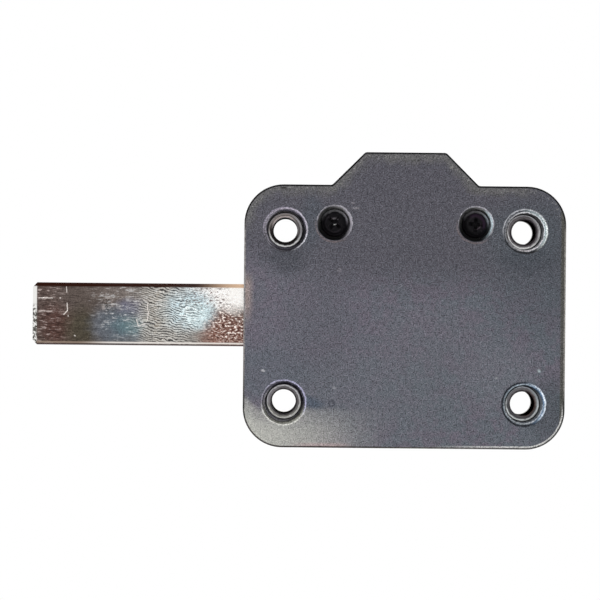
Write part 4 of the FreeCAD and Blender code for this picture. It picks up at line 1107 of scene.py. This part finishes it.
def cross_arm(settings):
    """One arm pair of the cross recess, a block that narrows towards its tip."""
    arm = bmesh.new()
    bmesh.ops.create_cube(arm, size=1.0)
    depth = settings.arm_depth / MILLIMETRE
    for vert in arm.verts:
        inner = vert.co.y > 0
        vert.co.x *= settings.arm_length / MILLIMETRE * (0.38 if inner else 1.12)
        vert.co.z *= settings.arm_width / MILLIMETRE * (0.62 if inner else 1.06)
        vert.co.y = depth if inner else -0.3
    edges = [edge for edge in arm.edges if abs(edge.verts[0].co.y - edge.verts[1].co.y) > 0.5]
    bmesh.ops.bevel(arm, geom=edges, offset=0.14, affect="EDGES", segments=2, profile=0.5, material=-1)
    return arm


def cut_cross(piece, centre, turn, settings):
    """Cut the cross recess into a screw's head."""
    arm = cross_arm(settings)
    for quarter in (0, math.pi / 2):
        shape = bmesh.new()
        moved_copy(shape, arm, centre, turn + quarter)
        bmesh.ops.recalc_face_normals(shape, faces=shape.faces)
        mesh = bpy.data.meshes.new("cutter")
        shape.to_mesh(mesh)
        shape.free()
        cutter = bpy.data.objects.new("cutter", mesh)
        bpy.context.scene.collection.objects.link(cutter)
        modifier = piece.modifiers.new("Cross", "BOOLEAN")
        modifier.operation = "DIFFERENCE"
        modifier.solver = "EXACT"
        modifier.object = cutter
        graph = bpy.context.evaluated_depsgraph_get()
        cut = bpy.data.meshes.new_from_object(piece.evaluated_get(graph))
        piece.modifiers.clear()
        old = piece.data
        piece.data = cut
        bpy.data.meshes.remove(old)
        bpy.data.objects.remove(cutter)
        bpy.data.meshes.remove(mesh)
    arm.free()


class DEADBOLT_OT_plate(bpy.types.Operator):
    """Finish the back plate, its pillars and the leaf spring"""
    bl_idname = "deadbolt.plate"
    bl_label = "Back plate"

    def execute(self, context):
        settings = context.scene.deadbolt_metals
        dress(sheet_zinc(settings), "back_plate")
        dress(ground_metal("pillar_zinc", settings.zinc, (5, 0.8, 5), 0.28), "screw_pillars")
        dress(ground_metal("hard_steel", settings.steel, (4, 0.9, 4), 0.26, display(120, 112, 104)),
              "guide_pin", "leaf_rivet")
        dress(ground_metal("spring_steel", settings.spring, (0.6, 4, 5), 0.3, display(112, 96, 84)),
              "leaf_spring")
        return {"FINISHED"}


class DEADBOLT_OT_drive(bpy.types.Operator):
    """Finish the pinion and its bush"""
    bl_idname = "deadbolt.drive"
    bl_label = "Pinion and bush"

    def execute(self, context):
        settings = context.scene.deadbolt_metals
        centre = (0, 0, PLUG_Z)
        dress(turned_metal("pinion_steel", settings.steel, centre, 0.4, 0.3), "pinion")
        bronze = ground_metal("bronze", settings.bronze, (2.5, 2.5, 2.5), 0.42, display(128, 88, 56))
        dress(bronze, "pinion_bush")
        return {"FINISHED"}


class DEADBOLT_OT_cylinder(bpy.types.Operator):
    """Finish the cylinder, its plug, pins, springs and fixing screw"""
    bl_idname = "deadbolt.cylinder"
    bl_label = "Cylinder"

    def execute(self, context):
        settings = context.scene.deadbolt_metals
        centre = (0, 0, PLUG_Z)
        dress(ground_metal("cylinder_nickel", settings.nickel, (3.2, 0.35, 3.2), 0.24), "cylinder_body")
        dress(turned_metal("plug_brass", settings.brass, centre, 0.42, 0.24), "cylinder_plug")
        dress(ground_metal("clip_steel", settings.spring, (2, 4, 2), 0.32), "plug_clip")
        dress(ground_metal("screw_zinc", settings.zinc, (0.8, 5, 5), 0.26, display(186, 178, 140)),
              "cylinder_fixing_screw")
        pins = ground_metal("pin_brass", settings.brass, (3, 3, 0.8), 0.28, display(170, 130, 72))
        steel = ground_metal("pin_steel", settings.steel, (3, 3, 0.8), 0.26)
        wire = ground_metal("spring_wire", settings.spring, (2, 2, 2), 0.3)
        for name in NODES:
            if name.startswith(("key_pin", "chamber_plug")):
                dress(pins, name)
            elif name.startswith("driver_pin"):
                dress(steel, name)
            elif name.startswith("pin_spring"):
                dress(wire, name)
        return {"FINISHED"}


def stage_lamp(name, power, size, place, mirrored=True):
    """A soft square lamp that looks at the part's origin, and that gloss may mirror."""
    light = bpy.data.lights.new(name, "AREA")
    light.energy = power
    light.size = size
    lamp = bpy.data.objects.new(name, light)
    lamp.location = place
    lamp.rotation_euler = (-Vector(place)).to_track_quat("-Z", "Y").to_euler()
    lamp.visible_glossy = mirrored
    bpy.context.scene.collection.objects.link(lamp)


def floor_material():
    """Pale floor that the camera sees as white and that keeps a soft shadow."""
    material, recipe, shader, place = new_material("studio_floor")
    dust = recipe.noise(place, 60.0, 3.0)
    tone = recipe.mix(recipe.fade(dust, 0.3, 0.7), display(232, 232, 232), display(238, 238, 237))
    recipe.feed(shader.inputs["Base Color"], tone)
    shader.inputs["Roughness"].default_value = 0.9
    path = recipe.put("LightPath")
    seen = recipe.math("MAXIMUM", path.outputs["Is Camera Ray"], path.outputs["Is Glossy Ray"])
    lift = recipe.put("Emission", {"Color": (1, 1, 1), "Strength": recipe.math("MULTIPLY", seen, 0.42)})
    both = recipe.put("AddShader")
    recipe.feed(both.inputs[0], shader.outputs[0])
    recipe.feed(both.inputs[1], lift.outputs[0])
    recipe.feed(material.node_tree.nodes["Material Output"].inputs["Surface"], both.outputs[0])
    return material


def studio_world(sky):
    """A plain room, white where it is seen and softer where it lights the part."""
    world = bpy.data.worlds.new("studio")
    world.use_nodes = True
    recipe = Recipe(world.node_tree)
    path = recipe.put("LightPath")
    seen = recipe.math("MAXIMUM", path.outputs["Is Camera Ray"], path.outputs["Is Glossy Ray"])
    seen = recipe.math("MAXIMUM", seen, path.outputs["Is Transmission Ray"])
    strength = recipe.put("MapRange", {"Value": seen, "To Min": sky, "To Max": 1.0}).outputs["Result"]
    background = world.node_tree.nodes["Background"]
    recipe.feed(background.inputs["Color"], (1, 1, 1))
    recipe.feed(background.inputs["Strength"], strength)
    return world


class DEADBOLT_OT_stage(bpy.types.Operator):
    """Set the floor, the room, the lamps and the camera"""
    bl_idname = "deadbolt.stage"
    bl_label = "Studio"

    def execute(self, context):
        settings = context.scene.deadbolt_stage
        scene = context.scene
        shape = bmesh.new()
        bmesh.ops.create_circle(shape, cap_ends=True, segments=96, radius=FLOOR_RADIUS)
        bmesh.ops.translate(shape, verts=shape.verts, vec=(0, 0, -settings.floor_drop))
        mesh = bpy.data.meshes.new("studio_floor")
        shape.to_mesh(mesh)
        shape.free()
        mesh.materials.append(floor_material())
        floor = bpy.data.objects.new("studio_floor", mesh)
        scene.collection.objects.link(floor)
        scene.world = studio_world(settings.sky)
        stage_lamp("key_lamp", settings.key_power, 0.25, KEY_PLACE, mirrored=False)
        stage_lamp("fill_lamp", settings.fill_power, 0.5, FILL_PLACE)
        stage_lamp("back_lamp", settings.fill_power, 0.5, BACK_PLACE)
        view = bpy.data.cameras.new("camera")
        view.lens = settings.lens
        camera = bpy.data.objects.new("camera", view)
        camera.location = Vector(CAMERA_PLACE) * MILLIMETRE
        camera.rotation_euler = (math.pi / 2, -settings.roll, 0)
        scene.collection.objects.link(camera)
        scene.camera = camera
        scene.view_settings.view_transform = "Standard"
        return {"FINISHED"}


class DEADBOLT_PT_panel(bpy.types.Panel):
    """The deadbolt's pieces in the order in which they are made"""
    bl_idname = "DEADBOLT_PT_panel"
    bl_label = "Deadbolt"
    bl_space_type = "VIEW_3D"
    bl_region_type = "UI"
    bl_category = "Deadbolt"

    def draw(self, context):
        for operator in OPERATORS:
            self.layout.operator(operator.bl_idname)


OPERATORS = (
    DEADBOLT_OT_cover,
    DEADBOLT_OT_bolt,
    DEADBOLT_OT_sleeves,
    DEADBOLT_OT_cover_screws,
    DEADBOLT_OT_plate,
    DEADBOLT_OT_drive,
    DEADBOLT_OT_cylinder,
    DEADBOLT_OT_stage,
)

SETTINGS = {
    "deadbolt_cover": CoverSettings,
    "deadbolt_bolt": BoltSettings,
    "deadbolt_sleeves": SleeveSettings,
    "deadbolt_screws": ScrewSettings,
    "deadbolt_metals": MetalSettings,
    "deadbolt_stage": StageSettings,
}


def register():
    for name, group in SETTINGS.items():
        bpy.utils.register_class(group)
        setattr(bpy.types.Scene, name, bpy.props.PointerProperty(type=group))
    for operator in OPERATORS:
        bpy.utils.register_class(operator)
    bpy.utils.register_class(DEADBOLT_PT_panel)


def unregister():
    bpy.utils.unregister_class(DEADBOLT_PT_panel)
    for operator in reversed(OPERATORS):
        bpy.utils.unregister_class(operator)
    for name, group in SETTINGS.items():
        delattr(bpy.types.Scene, name)
        bpy.utils.unregister_class(group)


def main():
    register()
    bpy.ops.deadbolt.cover()
    bpy.ops.deadbolt.bolt()
    bpy.ops.deadbolt.sleeves()
    bpy.ops.deadbolt.cover_screws()
    bpy.ops.deadbolt.plate()
    bpy.ops.deadbolt.drive()
    bpy.ops.deadbolt.cylinder()
    bpy.ops.deadbolt.stage()
    bpy.context.view_layer.update()


if __name__ == "__main__":
    main()
